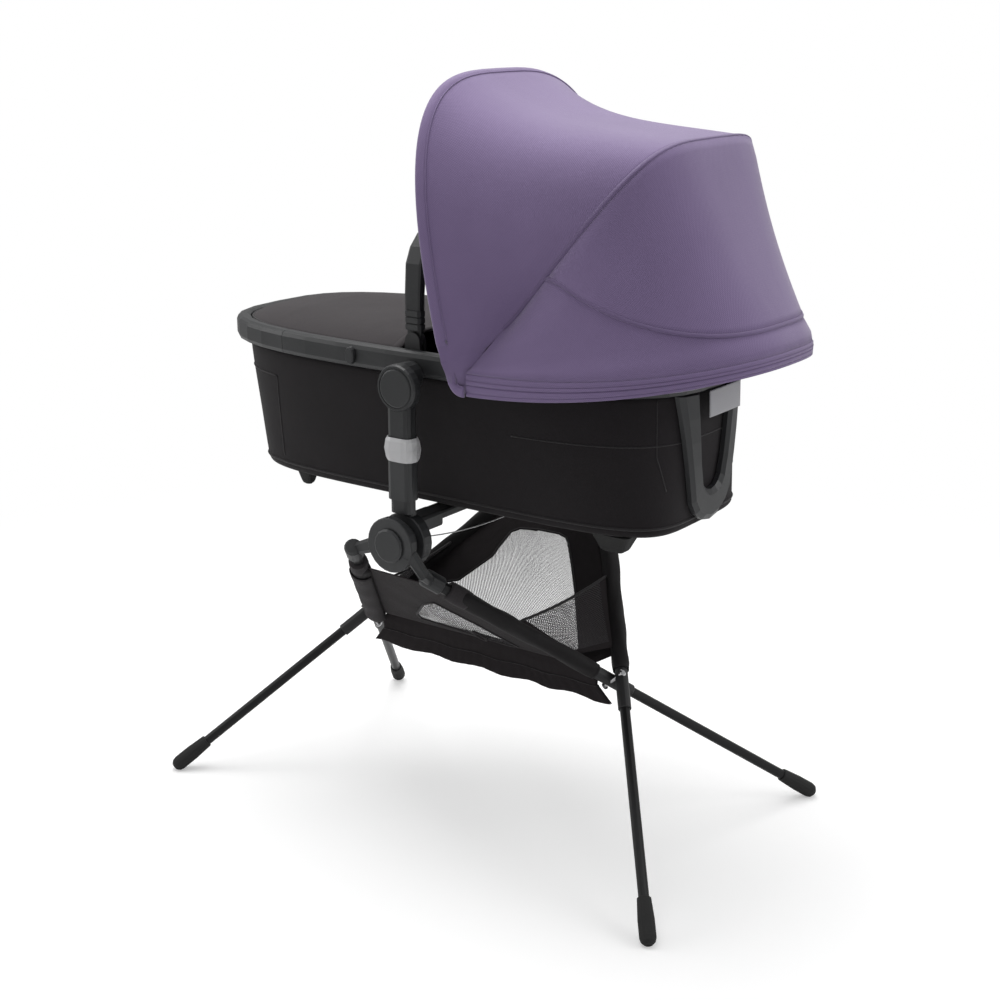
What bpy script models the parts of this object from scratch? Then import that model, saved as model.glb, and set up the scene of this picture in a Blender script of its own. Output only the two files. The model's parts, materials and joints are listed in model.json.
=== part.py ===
"""A carrycot with a canopy on a folding stand with four crossing legs.

Metres, +Z up. The floor is Z = 0, +X is the head end and -Y the side named near.
The hinge axis of the legs runs along Y, at HUB_Z above the floor.
"""
import math

import bmesh
import bpy
from mathutils import Matrix, Vector

# Whole part: X of the hub axis, so that the origin is under the middle of the part
HUB_X = -0.0058
CLEAR = 0.0003
WELD = 0.000001

# Carrycot rim
RIM_FOOT_X = -0.464
RIM_HEAD_X = 0.398
RIM_MIDDLE_X = -0.013
RIM_HALF_WIDTH = 0.211
RIM_FOOT_POWER = 3.1
RIM_HEAD_POWER = 3.0
RIM_HEIGHT = 0.037
RIM_DEPTH = 0.024
RIM_ROUND = 0.008
RIM_SEAM_X = -0.2655
RIM_SEAM_GAP = 0.0009

# Stand: hub layers on each side, stacked outwards from the middle plane
HUB_Z = 0.500
HUB_RADIUS = 0.042
POST_STANDOFF = 0.024
POST_Y = RIM_HALF_WIDTH + POST_STANDOFF
CORE_SETBACK = 0.0150
CORE_INNER = POST_Y - CORE_SETBACK
CORE_THICK = 0.0195
LAYER_GAP = 0.0005
LEFT_EAR_RADIUS = 0.030
LEFT_EAR_THICK = 0.0160
LEFT_EAR_INNER = CORE_INNER + CORE_THICK + LAYER_GAP
RIGHT_DISC_THICK = 0.0135
RIGHT_DISC_INNER = LEFT_EAR_INNER + LEFT_EAR_THICK + LAYER_GAP
PIN_RADIUS = 0.0080
PIN_HEAD_RADIUS = 0.026
PIN_HEAD_THICK = 0.0047
PIN_HEAD_INNER = RIGHT_DISC_INNER + RIGHT_DISC_THICK + CLEAR
DISC_EDGE = 0.0015
DISC_SIDES = 24

# Stand: legs. Each leg runs from its foot, through the crossing, to the hub across from it
LEG_SIDE = {"left_near": -1, "left_far": 1, "right_near": -1, "right_far": 1}
FOOT_X = {"left_near": -0.483, "left_far": -0.424, "right_near": 0.459, "right_far": 0.442}
FOOT_CENTRE_Z = 0.0115
OUTWARD = {"left": -1, "right": 1}
CROSSING_Z = 0.2505
CROSSING_X = {"left": -0.2664, "right": 0.2264}
LEG_SPACING = {"left": 0.0285, "right": 0.0305}
SOCKET_DROP = {"left": 0.045, "right": 0.075}
SOCKET_STEP = {"left": 0.0230, "right": 0.0625}
BRACKET_Y = {"left": LEFT_EAR_INNER + LEFT_EAR_THICK / 2.0,
             "right": RIGHT_DISC_INNER + RIGHT_DISC_THICK / 2.0}
UPPER_TUBE_RADIUS = 0.0095
LOWER_TUBE_RADIUS = 0.0080
TUBE_WALL = 0.0016
COUPLING_RADIUS = 0.0105
COUPLING_ABOVE = 0.0275
COUPLING_BELOW = 0.0285
SPIGOT_LENGTH = 0.030
TUBE_SOCKET_DEPTH = 0.026
EDGE = 0.001
BOLT_RADIUS = 0.0030
BOLT_HEAD_RADIUS = 0.0058
BOLT_HEAD_HEIGHT = 0.0028
CAP_LENGTH = 0.060
CAP_RADIUS = 0.0125
CAP_TOP_RADIUS = 0.0105
CAP_BORE_DEPTH = 0.040
BRACKET_SOCKET_RADIUS = 0.0140
BRACKET_SOCKET_LENGTH = 0.034
BRACKET_SOCKET_END = 0.0055

# Stand: the two brackets' arms, as (width, thickness) from the hub to the leg
LEFT_ARM_SIZES = ((0.034, 0.0130), (0.026, 0.0130), (0.022, 0.0130), (0.018, 0.0120))
LEFT_ARM_ROOT = (-0.008, -0.001)
LEFT_ARM_SHOULDER = (-0.030, -0.006)
RIGHT_ARM_SIZES = ((0.026, 0.0125), (0.022, 0.0125), (0.020, 0.0140), (0.018, 0.0130))
RIGHT_ARM_ROOT = (0.016, -0.004)
RIGHT_ARM_SHOULDER = (0.036, -0.012)
RIGHT_KNEE_AHEAD = 0.016
RIGHT_KNEE_STEP = 0.0113
RIGHT_KNEE_DROP = 0.040
ARM_CORNER = 0.005

# Stand: posts, collars, cross beam and cable
NECK_WIDTH = 0.034
NECK_THICK = 0.024
NECK_ABOVE_HUB = 0.0015
NECK_TOP_Z = HUB_Z + HUB_RADIUS + 0.022
POST_WIDTH = 0.042
POST_THICK = 0.027
POST_CORNER = 0.008
POST_TOP_Z = NECK_TOP_Z + 0.076
TONGUE_WIDTH = 0.0240
TONGUE_THICK = 0.0120
TONGUE_LENGTH = 0.040
COLLAR_WIDTH = 0.056
COLLAR_THICK = 0.036
COLLAR_BULGE = 0.0015
COLLAR_HEIGHT = 0.036
COLLAR_BELOW_TOP = 0.017
COLLAR_CORNER = 0.017
COLLAR_NOTCH = (0.0030, 0.0040, 0.0150)
BODY_ABOVE_HUB = 0.037
BEAM_ABOVE_HUB = 0.031
BEAM_TOP_Z = HUB_Z + BEAM_ABOVE_HUB
BEAM_WIDTH = 0.036
BEAM_HEIGHT = 0.014
BEAM_BLOCK_HEIGHT = 0.024
BEAM_BLOCK_LENGTH = 0.055
CABLE_RADIUS = 0.0010
CABLE_X = 0.016
CABLE_BELOW_BLOCK = 0.004
CABLE_SAG = 0.023

# Basket: panels between the upper tubes, which meet in a hanging hem below the crossings
BASKET_TOP_Z = 0.420
BASKET_BEND_Z = CROSSING_Z + 0.0135
BASKET_FOLD_Z = CROSSING_Z - 0.0155
BASKET_LOW_Z = CROSSING_Z - 0.0425
BASKET_END_LOW_Z = CROSSING_Z + 0.0395
BASKET_FOLD_DEPTH = 0.0030
BASKET_HALF_GAP = 0.0016
BASKET_SEAM_GAP = 0.0008
SHEET_THICK = 0.0020

# Heights of the carrycot, which stands on the posts
RIM_LOW_Z = POST_TOP_Z + 0.103
RIM_TOP_Z = RIM_LOW_Z + RIM_HEIGHT

# Adapters that carry the rim on the posts
ADAPTER_NECK_WIDTH = 0.040
ADAPTER_NECK_THICK = 0.026
ADAPTER_DISC_RADIUS = 0.035
ADAPTER_DISC_Z = RIM_LOW_Z - 0.010
ADAPTER_DISC_INNER = POST_Y - 0.0005
ADAPTER_DISC_THICK = 0.0155
ADAPTER_CAP_RADIUS = 0.0285
ADAPTER_GROOVE = 0.0012
ADAPTER_BOSS_RADIUS = 0.022
ADAPTER_BOSS_Z = RIM_LOW_Z + 0.003
ADAPTER_BOSS_OVERLAP = 0.004

# Oval press buttons in the rim
BUTTON_X = -0.116
BUTTON_WIDTH = 0.0165
BUTTON_HEIGHT = 0.0270
BUTTON_PROUD = 0.0060
BUTTON_DEPTH = 0.0050
BUTTON_TRAVEL = 0.0030

# Carrycot body
BODY_TOP_INSET = 0.020
BODY_FOOT_X = RIM_FOOT_X + 0.064
BODY_HEAD_X = RIM_HEAD_X - 0.024
BODY_HALF_WIDTH = RIM_HALF_WIDTH - 0.053
BODY_FOOT_POWER = 4.8
BODY_HEAD_POWER = 5.2
BODY_LOW_Z = HUB_Z + BODY_ABOVE_HUB
BODY_EDGE_RADIUS = 0.009
BODY_COLLAR = 0.006
BODY_WALL = 0.0035
BOARD_THICK = 0.005
BOARD_INSET = 0.014
MATTRESS_THICK = 0.034
MATTRESS_CROWN = 0.009
MATTRESS_INSET = 0.008
BASE_FOOT_AHEAD = {"foot_end": 0.115, "head_end": -0.077}
BASE_FOOT_INSET = {"foot_end": 0.030, "head_end": 0.038}
BASE_FOOT_SIZE = {"foot_end": (0.030, 0.026, 0.023), "head_end": (0.064, 0.040, 0.028)}
BASE_FOOT_TAPER = 0.58
BASE_FOOT_CORNER = 0.007

# Apron over the foot half
APRON_EDGE_X = -0.045
APRON_THICK = 0.004
APRON_CROWN = 0.020
APRON_BELOW_RIM = 0.006

# U-shaped bar on the head end, and the strap that ends behind its top
BAR_TOP_Z = RIM_LOW_Z - 0.003
BAR_LOW_Z = BODY_LOW_Z + 0.006
BAR_TURN_RISE = 0.057
BAR_TOP_HALF_WIDTH = 0.0665
BAR_TOP_BAND = 0.039
BAR_TURN_HALF_WIDTH = 0.0440
BAR_TURN_BAND = 0.029
BAR_FOOT_BAND = 0.046
BAR_THICK = 0.012
BAR_BODY_GAP = 0.0024
STRAP_WIDTH = 0.090
STRAP_THICK = 0.003
STRAP_LENGTH = 0.035
STRAP_ROLL = 0.0035
STRAP_Y = 0.010

# Carry handle and its two hinges inside the rim
HANDLE_X = -0.018
HANDLE_PIVOT_Z = RIM_TOP_Z + 0.010
HANDLE_TOP_Z = HANDLE_PIVOT_Z + 0.163
HANDLE_CORNER = 0.075
HANDLE_WIDTH = 0.033
HANDLE_THICK = 0.015
HANDLE_ROUND = 0.005
HANDLE_ROOT_SCALE = 0.86
HANDLE_HINGE_THICK = HANDLE_THICK + 0.0005
HANDLE_Y = RIM_HALF_WIDTH - RIM_DEPTH - HANDLE_HINGE_THICK / 2.0 - 0.0006
LUG_THICK = 0.0050
LUG_RADIUS = 0.0130
LUG_GAP = 0.0030
RIB_COUNT = 3
RIB_HEIGHT = 0.0080
RIB_PITCH = 0.0100
RIB_SIZE = (0.0300, 0.0172)
HINGE_PIN_RADIUS = 0.0035

# Canopy: bows, cloth and hem
CANOPY_X = 0.100
CANOPY_Z = RIM_LOW_Z + 0.012
PIVOT_DISC_RADIUS = 0.0105
PIVOT_DISC_THICK = 0.0016
BOW_WIDTH = 0.009
BOW_THICK = 0.0034
BOW_PLATE_THICK = 0.004
BOW_INSET = 0.0068
BOW_FOOT_REACH = 0.040
BOW_FOOT_BLEND = 0.025
EYE_RADIUS = 0.0095
FRONT_ANGLE = 103.0
FRONT_REACH = 0.427
FRONT_HALF_WIDTH = RIM_HALF_WIDTH + 0.051
FRONT_POWER = 3.3
REAR_ANGLE = 51.0
REAR_REACH = 0.429
REAR_HALF_WIDTH = RIM_HALF_WIDTH - 0.019
REAR_POWER = 4.5
REAR_FLARE = 0.0275
REAR_FLARE_FROM = 0.045
REAR_FLARE_TO = 0.140
FRONT_PANEL_SAG = 0.026
BACK_PANEL_SAG = 0.010
PANEL_GAP = 0.0025
CORNER_Y = RIM_HALF_WIDTH + 0.026
CORNER_Z = RIM_LOW_Z - 0.003
CORNER_FRONT_X = CANOPY_X - 0.005
CORNER_REAR_X = CANOPY_X + 0.007
HEM_REACH = 0.405
HEM_HALF_WIDTH = RIM_HALF_WIDTH + 0.025
HEM_POWER = 2.4
HEM_LOW_Z = RIM_LOW_Z - 0.008
HEM_RISE = 0.055
HEM_SIDE_HEIGHT = 0.034
HEM_BACK_HEIGHT = 0.020
HEM_THICK = 0.004
HEM_START = 0.0085
HEM_FLAP_RISE = 0.008
HEM_FLAP_THICK = 0.003
HEM_RIM_GAP = 0.0014

SIDES = {"near": -1, "far": 1}

FINISH = {
    "plastic": ((0.045, 0.047, 0.050), 0.45, 0.0),
    "dark_plastic": ((0.020, 0.020, 0.021), 0.50, 0.0),
    "tube": ((0.018, 0.018, 0.019), 0.30, 0.6),
    "rubber": ((0.016, 0.016, 0.017), 0.80, 0.0),
    "steel": ((0.60, 0.60, 0.62), 0.25, 1.0),
    "collar": ((0.62, 0.62, 0.63), 0.40, 0.0),
    "black_fabric": ((0.014, 0.013, 0.014), 0.90, 0.0),
    "brown_fabric": ((0.040, 0.034, 0.036), 0.90, 0.0),
    "violet_fabric": ((0.190, 0.140, 0.260), 0.85, 0.0),
    "grey_fabric": ((0.38, 0.38, 0.40), 0.70, 0.0),
    "mattress": ((0.70, 0.70, 0.68), 0.90, 0.0),
}

for old in list(bpy.data.objects):
    bpy.data.objects.remove(old)


# Collections, empties on the joints' axes, pieces and the tools that cut or join them

def make_collection(name):
    collection = bpy.data.collections.new(name)
    bpy.context.scene.collection.children.link(collection)
    return collection


PARTS = make_collection("carrycot_stand")
TOOLS = make_collection("cutters")


def empty(name, location, parent=None):
    anchor = bpy.data.objects.new(name, None)
    anchor.parent = parent
    anchor.location = location
    PARTS.objects.link(anchor)
    return anchor


STAND = empty("stand_axis", (HUB_X, 0.0, 0.0))
LEG_AXIS = empty("leg_axis", (0.0, 0.0, HUB_Z), STAND)
HANDLE_AXIS = empty("handle_axis", (HANDLE_X, 0.0, HANDLE_PIVOT_Z), STAND)
CANOPY_AXIS = empty("canopy_axis", (CANOPY_X, 0.0, CANOPY_Z), STAND)


def make_material(name, colour, roughness, metallic):
    material = bpy.data.materials.new(name)
    material.use_nodes = True
    shader = material.node_tree.nodes["Principled BSDF"]
    shader.inputs["Base Color"].default_value = (*colour, 1.0)
    shader.inputs["Roughness"].default_value = roughness
    shader.inputs["Metallic"].default_value = metallic
    material.diffuse_color = (*colour, 1.0)
    return material


def add(name, data, finish=None, axis=STAND, matrix=None):
    """Place a shape in the stand's coordinates: a piece with a finish, or a tool without one."""
    shape = bpy.data.objects.new(name, data)
    shape.parent = axis
    if axis is not STAND:
        shape.matrix_parent_inverse = Matrix.Translation(-axis.location)
    if matrix:
        shape.matrix_basis = matrix
    if finish:
        data.materials.append(make_material(name + "_finish", *FINISH[finish]))
        PARTS.objects.link(shape)
    else:
        shape.hide_render = True
        shape.display_type = "WIRE"
        TOOLS.objects.link(shape)
    return shape


def combine(target, tool, operation):
    modifier = target.modifiers.new(tool.name, "BOOLEAN")
    modifier.operation = operation
    modifier.solver = "EXACT"
    modifier.object = tool


def cut(target, tool):
    combine(target, tool, "DIFFERENCE")


def join(target, tool):
    combine(target, tool, "UNION")


# Shapes

def mesh_data(name, mesh):
    """Turn a bmesh into smooth mesh data with its faces pointing out."""
    bmesh.ops.recalc_face_normals(mesh, faces=mesh.faces)
    data = bpy.data.meshes.new(name)
    mesh.to_mesh(data)
    mesh.free()
    data.shade_smooth()
    data.set_sharp_from_angle(angle=math.radians(35.0))
    return data


def aim(start, direction):
    """Local Z along a direction, from a start point."""
    turn = Vector((0.0, 0.0, 1.0)).rotation_difference(Vector(direction).normalized())
    return Matrix.Translation(start) @ turn.to_matrix().to_4x4()


def turned(name, profile, start, direction, sides=16, finish=None, axis=STAND, hollow=False):
    """Revolve (radius, distance) points, from the far end down the outer side, about a line."""
    mesh = bmesh.new()
    verts = [mesh.verts.new((radius, 0.0, distance)) for radius, distance in profile]
    for upper, lower in zip(verts, verts[1:]):
        mesh.edges.new((upper, lower))
    if hollow:
        mesh.edges.new((verts[-1], verts[0]))
    data = bpy.data.meshes.new(name)
    mesh.to_mesh(data)
    mesh.free()
    shape = add(name, data, finish, axis, aim(start, direction))
    screw = shape.modifiers.new("turn", "SCREW")
    screw.steps = sides
    screw.render_steps = sides
    screw.use_merge_vertices = True
    screw.merge_threshold = 0.00001
    return shape


def disc(name, radius, start, direction, thickness, finish, axis):
    """A turned disc with a small chamfer on each rim."""
    return turned(name, (
        (0.0, thickness),
        (radius - DISC_EDGE, thickness),
        (radius, thickness - DISC_EDGE),
        (radius, DISC_EDGE),
        (radius - DISC_EDGE, 0.0),
        (0.0, 0.0),
    ), start, direction, DISC_SIDES, finish, axis)


def cylinder(name, start, direction, low, high, radius, sides=16, finish=None, axis=STAND):
    """A plain cylinder between two distances along a line, its corners off the ends' spokes."""
    mesh = bmesh.new()
    middle = Matrix.Translation((0.0, 0.0, (low + high) / 2.0)) @ Matrix.Rotation(math.pi / sides, 4, "Z")
    bmesh.ops.create_cone(mesh, cap_ends=True, segments=sides, radius1=radius, radius2=radius,
                          depth=high - low, matrix=middle)
    return add(name, mesh_data(name, mesh), finish, axis, aim(start, direction))


def block(name, centre, size, corner=0.0, along=2, finish=None, axis=STAND, segments=2):
    """A box whose four edges along one axis are rounded."""
    mesh = bmesh.new()
    scale = Matrix.Diagonal((*size, 1.0))
    bmesh.ops.create_cube(mesh, size=1.0, matrix=scale)
    if corner:
        edges = []
        for edge in mesh.edges:
            span = edge.verts[1].co - edge.verts[0].co
            if abs(span[along]) > size[along] / 2.0:
                edges.append(edge)
        bmesh.ops.bevel(mesh, geom=edges, offset=corner, segments=segments, profile=0.5, affect="EDGES")
    return add(name, mesh_data(name, mesh), finish, axis, Matrix.Translation(centre))


def curve_data(name, points, cyclic, dimensions):
    curve = bpy.data.curves.new(name, "CURVE")
    curve.dimensions = dimensions
    spline = curve.splines.new("POLY")
    spline.points.add(len(points) - 1)
    for target, point in zip(spline.points, points):
        target.co = (*point, 1.0)
    spline.use_cyclic_u = cyclic
    return curve


def mesh_from_curve(curve):
    """The curve's evaluated shape as mesh data, with its caps welded on."""
    holder = bpy.data.objects.new(curve.name, curve)
    TOOLS.objects.link(holder)
    evaluated = holder.evaluated_get(bpy.context.evaluated_depsgraph_get())
    raw = bpy.data.meshes.new_from_object(evaluated)
    mesh = bmesh.new()
    mesh.from_mesh(raw)
    name = curve.name
    bpy.data.objects.remove(holder)
    bpy.data.curves.remove(curve)
    bpy.data.meshes.remove(raw)
    bmesh.ops.remove_doubles(mesh, verts=mesh.verts, dist=WELD)
    return mesh_data(name, mesh)


def plate(name, outline, inner, outer, finish=None, axis=STAND):
    """A flat outline of (x, z) points, drawn as a filled curve and extruded along Y."""
    curve = curve_data(name, [(x, z, 0.0) for x, z in outline], True, "2D")
    curve.fill_mode = "BOTH"
    curve.extrude = abs(outer - inner) / 2.0
    stand_up = Matrix.Rotation(math.pi / 2.0, 4, "X")
    matrix = Matrix.Translation((0.0, (inner + outer) / 2.0, 0.0)) @ stand_up
    return add(name, mesh_from_curve(curve), finish, axis, matrix)


def slab(name, outline, low, high, finish=None, axis=STAND):
    """A flat outline of (x, y) points, drawn as a filled curve and extruded along Z."""
    curve = curve_data(name, [(x, y, 0.0) for x, y in outline], True, "2D")
    curve.fill_mode = "BOTH"
    curve.extrude = (high - low) / 2.0
    matrix = Matrix.Translation((0.0, 0.0, (low + high) / 2.0))
    return add(name, mesh_from_curve(curve), finish, axis, matrix)


def swept(name, points, outline, matrix, finish=None, axis=STAND, scales=None):
    """Sweep an outline along flat (x, y) points: its X lies in their plane and its Y square to it."""
    section_curve = curve_data(name + "_section", [(x, y, 0.0) for x, y in outline], True, "2D")
    section = bpy.data.objects.new(section_curve.name, section_curve)
    TOOLS.objects.link(section)
    curve = curve_data(name, [(x, y, 0.0) for x, y in points], False, "3D")
    curve.twist_mode = "Z_UP"
    curve.bevel_mode = "OBJECT"
    curve.bevel_object = section
    curve.use_fill_caps = True
    if scales:
        for point, scale in zip(curve.splines[0].points, scales):
            point.radius = scale
    data = mesh_from_curve(curve)
    bpy.data.objects.remove(section)
    bpy.data.curves.remove(section_curve)
    return add(name, data, finish, axis, matrix)


def shell(name, grid, thickness, finish, axis=STAND):
    """An open sheet through a grid of points, given its thickness on both sides."""
    mesh = bmesh.new()
    rows = [[mesh.verts.new(point) for point in line] for line in grid]
    for low, high in zip(rows, rows[1:]):
        for j in range(len(low) - 1):
            mesh.faces.new((low[j], low[j + 1], high[j + 1], high[j]))
    sheet = add(name, mesh_data(name, mesh), finish, axis)
    solidify = sheet.modifiers.new("thickness", "SOLIDIFY")
    solidify.thickness = thickness
    solidify.offset = 0.0
    return sheet


def loft(name, rings, finish=None, axis=STAND, closed=False):
    """Skin a row of unlike sections: with end caps, or closed on itself."""
    mesh = bmesh.new()
    rows = [[mesh.verts.new(point) for point in ring] for ring in rings]
    count = len(rows[0])
    pairs = list(zip(rows, rows[1:]))
    if closed:
        pairs.append((rows[-1], rows[0]))
    else:
        mesh.faces.new(rows[0])
        mesh.faces.new(rows[-1])
    for low, high in pairs:
        for index in range(count):
            after = (index + 1) % count
            mesh.faces.new((low[index], low[after], high[after], high[index]))
    return add(name, mesh_data(name, mesh), finish, axis)


# Outlines

def rounded_rectangle(width, depth, radius, corner_points=3):
    """Points of a rounded rectangle about the origin."""
    points = []
    for corner, (sign_x, sign_y) in enumerate(((1, 1), (-1, 1), (-1, -1), (1, -1))):
        centre_x = sign_x * (width / 2.0 - radius)
        centre_y = sign_y * (depth / 2.0 - radius)
        for step in range(corner_points):
            angle = math.pi / 2.0 * (corner + step / (corner_points - 1))
            points.append((centre_x + radius * math.cos(angle), centre_y + radius * math.sin(angle)))
    return points


def round_ended(x, z_round, radius, z_flat, half_width, steps=12):
    """Outline of an upright bar with one half-round end about (x, z_round)."""
    up = 1.0 if z_round > z_flat else -1.0
    outline = [(x + half_width, z_flat)]
    for step in range(steps + 1):
        angle = math.pi * step / steps
        outline.append((x + radius * math.cos(angle), z_round + up * radius * math.sin(angle)))
    outline.append((x - half_width, z_flat))
    return outline


def signed_power(value, power):
    return math.copysign(abs(value) ** power, value)


def oval_point(angle, foot_x, head_x, half_width, foot_power, head_power):
    """A point of a long oval whose foot end and head end each have their own roundness."""
    cosine = math.cos(angle)
    power = 2.0 / (head_power if cosine > 0.0 else foot_power)
    reach = head_x - RIM_MIDDLE_X if cosine > 0.0 else RIM_MIDDLE_X - foot_x
    x = RIM_MIDDLE_X + reach * signed_power(cosine, power)
    return Vector((x, half_width * signed_power(math.sin(angle), power), 0.0))


def rim_point(angle, inset=0.0):
    return oval_point(angle, RIM_FOOT_X + inset, RIM_HEAD_X - inset, RIM_HALF_WIDTH - inset,
                      RIM_FOOT_POWER, RIM_HEAD_POWER)


def solve(low, high, too_low):
    """Halve a span until its middle is where too_low changes."""
    for _ in range(50):
        middle = (low + high) / 2.0
        if too_low(middle):
            low = middle
        else:
            high = middle
    return (low + high) / 2.0


def rim_angle_at(x):
    """The angle, on the +Y side, where the rim's outer edge has this X."""
    return solve(0.0, math.pi, lambda angle: rim_point(angle).x > x)


def body_point(angle, share, inset=0.0):
    """A point of the body's side: share 0 at its bottom edge and 1 under the rim."""
    low = oval_point(angle, BODY_FOOT_X + inset, BODY_HEAD_X - inset, BODY_HALF_WIDTH - inset,
                     BODY_FOOT_POWER, BODY_HEAD_POWER)
    return low.lerp(rim_point(angle, BODY_TOP_INSET), share)


def body_face_x(y, z):
    """X of the body's head end at a width and a height."""
    share = (z - BODY_LOW_Z) / (RIM_LOW_Z - BODY_LOW_Z)
    share = min(max(share, 0.0), 1.0)
    angle = solve(0.0, math.pi / 2.0, lambda middle: body_point(middle, share).y < abs(y))
    return body_point(angle, share).x


# Legs

def leg_pair(leg):
    return leg.split("_")[0]


def leg_foot(leg):
    """The middle of a foot cap's round end. The leg's line meets its bracket at the hub."""
    pair = leg_pair(leg)
    rise = HUB_Z - SOCKET_DROP[pair] - CROSSING_Z
    socket_y = BRACKET_Y[pair] - SOCKET_STEP[pair]
    foot_y = LEG_SIDE[leg] * socket_y * (CROSSING_Z - FOOT_CENTRE_Z) / rise
    return Vector((FOOT_X[leg], foot_y, FOOT_CENTRE_Z))


def leg_point(leg, z):
    """The centre line of a leg, from its foot through the crossing and on to the hub."""
    pair = leg_pair(leg)
    shift = OUTWARD[pair] * LEG_SIDE[leg] * LEG_SPACING[pair] / 2.0
    foot = leg_foot(leg)
    crossing = Vector((CROSSING_X[pair] - shift, 0.0, CROSSING_Z))
    return foot + (crossing - foot) * (z - FOOT_CENTRE_Z) / (CROSSING_Z - FOOT_CENTRE_Z)


def leg_direction(leg):
    return (leg_point(leg, 1.0) - leg_point(leg, 0.0)).normalized()


def leg_socket(leg):
    return leg_point(leg, HUB_Z - SOCKET_DROP[leg_pair(leg)])


def crossing_axis(pair):
    """Middle and direction of the shortest line between a pair's two legs, and half its length."""
    near, far = (pair + "_near", pair + "_far")
    axis = leg_direction(near).cross(leg_direction(far)).normalized()
    offset = leg_point(far, CROSSING_Z) - leg_point(near, CROSSING_Z)
    middle = (leg_point(near, CROSSING_Z) + leg_point(far, CROSSING_Z)) / 2.0
    return middle, axis, abs(offset.dot(axis)) / 2.0


def build_leg(leg):
    direction = leg_direction(leg)
    top = leg_point(leg, CROSSING_Z + COUPLING_ABOVE)
    length = (top - leg_point(leg, CROSSING_Z - COUPLING_BELOW)).length
    bore = LOWER_TUBE_RADIUS + CLEAR
    spigot = UPPER_TUBE_RADIUS - TUBE_WALL - CLEAR
    coupling = turned("coupling_" + leg, (
        (0.0, SPIGOT_LENGTH),
        (spigot - EDGE, SPIGOT_LENGTH),
        (spigot, SPIGOT_LENGTH - EDGE),
        (spigot, 0.0),
        (COUPLING_RADIUS - EDGE, 0.0),
        (COUPLING_RADIUS, -EDGE),
        (COUPLING_RADIUS, EDGE - length),
        (COUPLING_RADIUS - EDGE, -length),
        (bore, -length),
        (bore, TUBE_SOCKET_DEPTH - length),
        (0.0, TUBE_SOCKET_DEPTH - length),
    ), top, direction, 16, "dark_plastic", LEG_AXIS)
    middle, axis, half_gap = crossing_axis(leg_pair(leg))
    reach = half_gap + 3.0 * COUPLING_RADIUS
    cut(coupling, cylinder(coupling.name + "_bolt_hole", middle, axis, -reach, reach,
                           BOLT_RADIUS + CLEAR))
    upper_low = top + direction * CLEAR
    upper_end = leg_socket(leg) + direction * (BRACKET_SOCKET_LENGTH - BRACKET_SOCKET_END - CLEAR)
    build_tube("upper_tube_" + leg, upper_low, upper_end, UPPER_TUBE_RADIUS)
    lower_top = top - direction * (length - TUBE_SOCKET_DEPTH + CLEAR)
    lower_end = leg_foot(leg) + direction * (CAP_LENGTH - CAP_BORE_DEPTH + CLEAR)
    build_tube("lower_tube_" + leg, lower_end, lower_top, LOWER_TUBE_RADIUS)
    build_foot_cap(leg, direction)


def build_tube(name, start, end, radius):
    length = (end - start).length
    turned(name, (
        (radius, length),
        (radius, 0.0),
        (radius - TUBE_WALL, 0.0),
        (radius - TUBE_WALL, length),
    ), start, end - start, 16, "tube", LEG_AXIS, hollow=True)


def build_foot_cap(leg, direction):
    """A rubber cap with a round end that the floor has worn flat."""
    bore = LOWER_TUBE_RADIUS + CLEAR
    profile = [
        (0.0, CAP_LENGTH - CAP_BORE_DEPTH),
        (bore, CAP_LENGTH - CAP_BORE_DEPTH),
        (bore, CAP_LENGTH),
        (CAP_TOP_RADIUS - EDGE, CAP_LENGTH),
        (CAP_TOP_RADIUS, CAP_LENGTH - EDGE),
        (CAP_RADIUS, CAP_LENGTH * 0.45),
        (CAP_RADIUS, 0.0),
    ]
    for step in range(1, 3):
        angle = math.pi / 2.0 * step / 3.0
        profile.append((CAP_RADIUS * math.cos(angle), -CAP_RADIUS * math.sin(angle)))
    profile.append((0.0, profile[-1][1]))
    end = leg_foot(leg)
    cap = turned("foot_cap_" + leg, profile, end, direction, 16, "rubber", LEG_AXIS)
    depth = 2.0 * CAP_LENGTH
    cut(cap, block(cap.name + "_floor", (end.x, end.y, -depth / 2.0), (depth, depth, depth)))


def build_crossing_bolt(pair):
    middle, axis, half_gap = crossing_axis(pair)
    reach = half_gap + COUPLING_RADIUS + CLEAR
    dome = BOLT_HEAD_RADIUS * 0.6
    rim = reach + BOLT_HEAD_HEIGHT * 0.4
    top = reach + BOLT_HEAD_HEIGHT
    turned("crossing_bolt_" + pair, (
        (0.0, top),
        (dome, top),
        (BOLT_HEAD_RADIUS, rim),
        (BOLT_HEAD_RADIUS, reach),
        (BOLT_RADIUS, reach),
        (BOLT_RADIUS, -reach),
        (BOLT_HEAD_RADIUS, -reach),
        (BOLT_HEAD_RADIUS, -rim),
        (dome, -top),
        (0.0, -top),
    ), middle, axis, 16, "steel", LEG_AXIS)


# Hubs: core, two brackets and a pin on each side

def on_hub(side, distance):
    """The point of the hinge axis at a distance from the middle plane."""
    return Vector((0.0, side * distance, HUB_Z))


def cut_pin_hole(piece, side):
    outward = (0.0, side, 0.0)
    past = CORE_THICK / 2.0
    length = PIN_HEAD_INNER - CORE_INNER + 2.0 * past
    cut(piece, cylinder(piece.name + "_pin_hole", on_hub(side, CORE_INNER - past), outward,
                        0.0, length, PIN_RADIUS + CLEAR))


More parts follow.
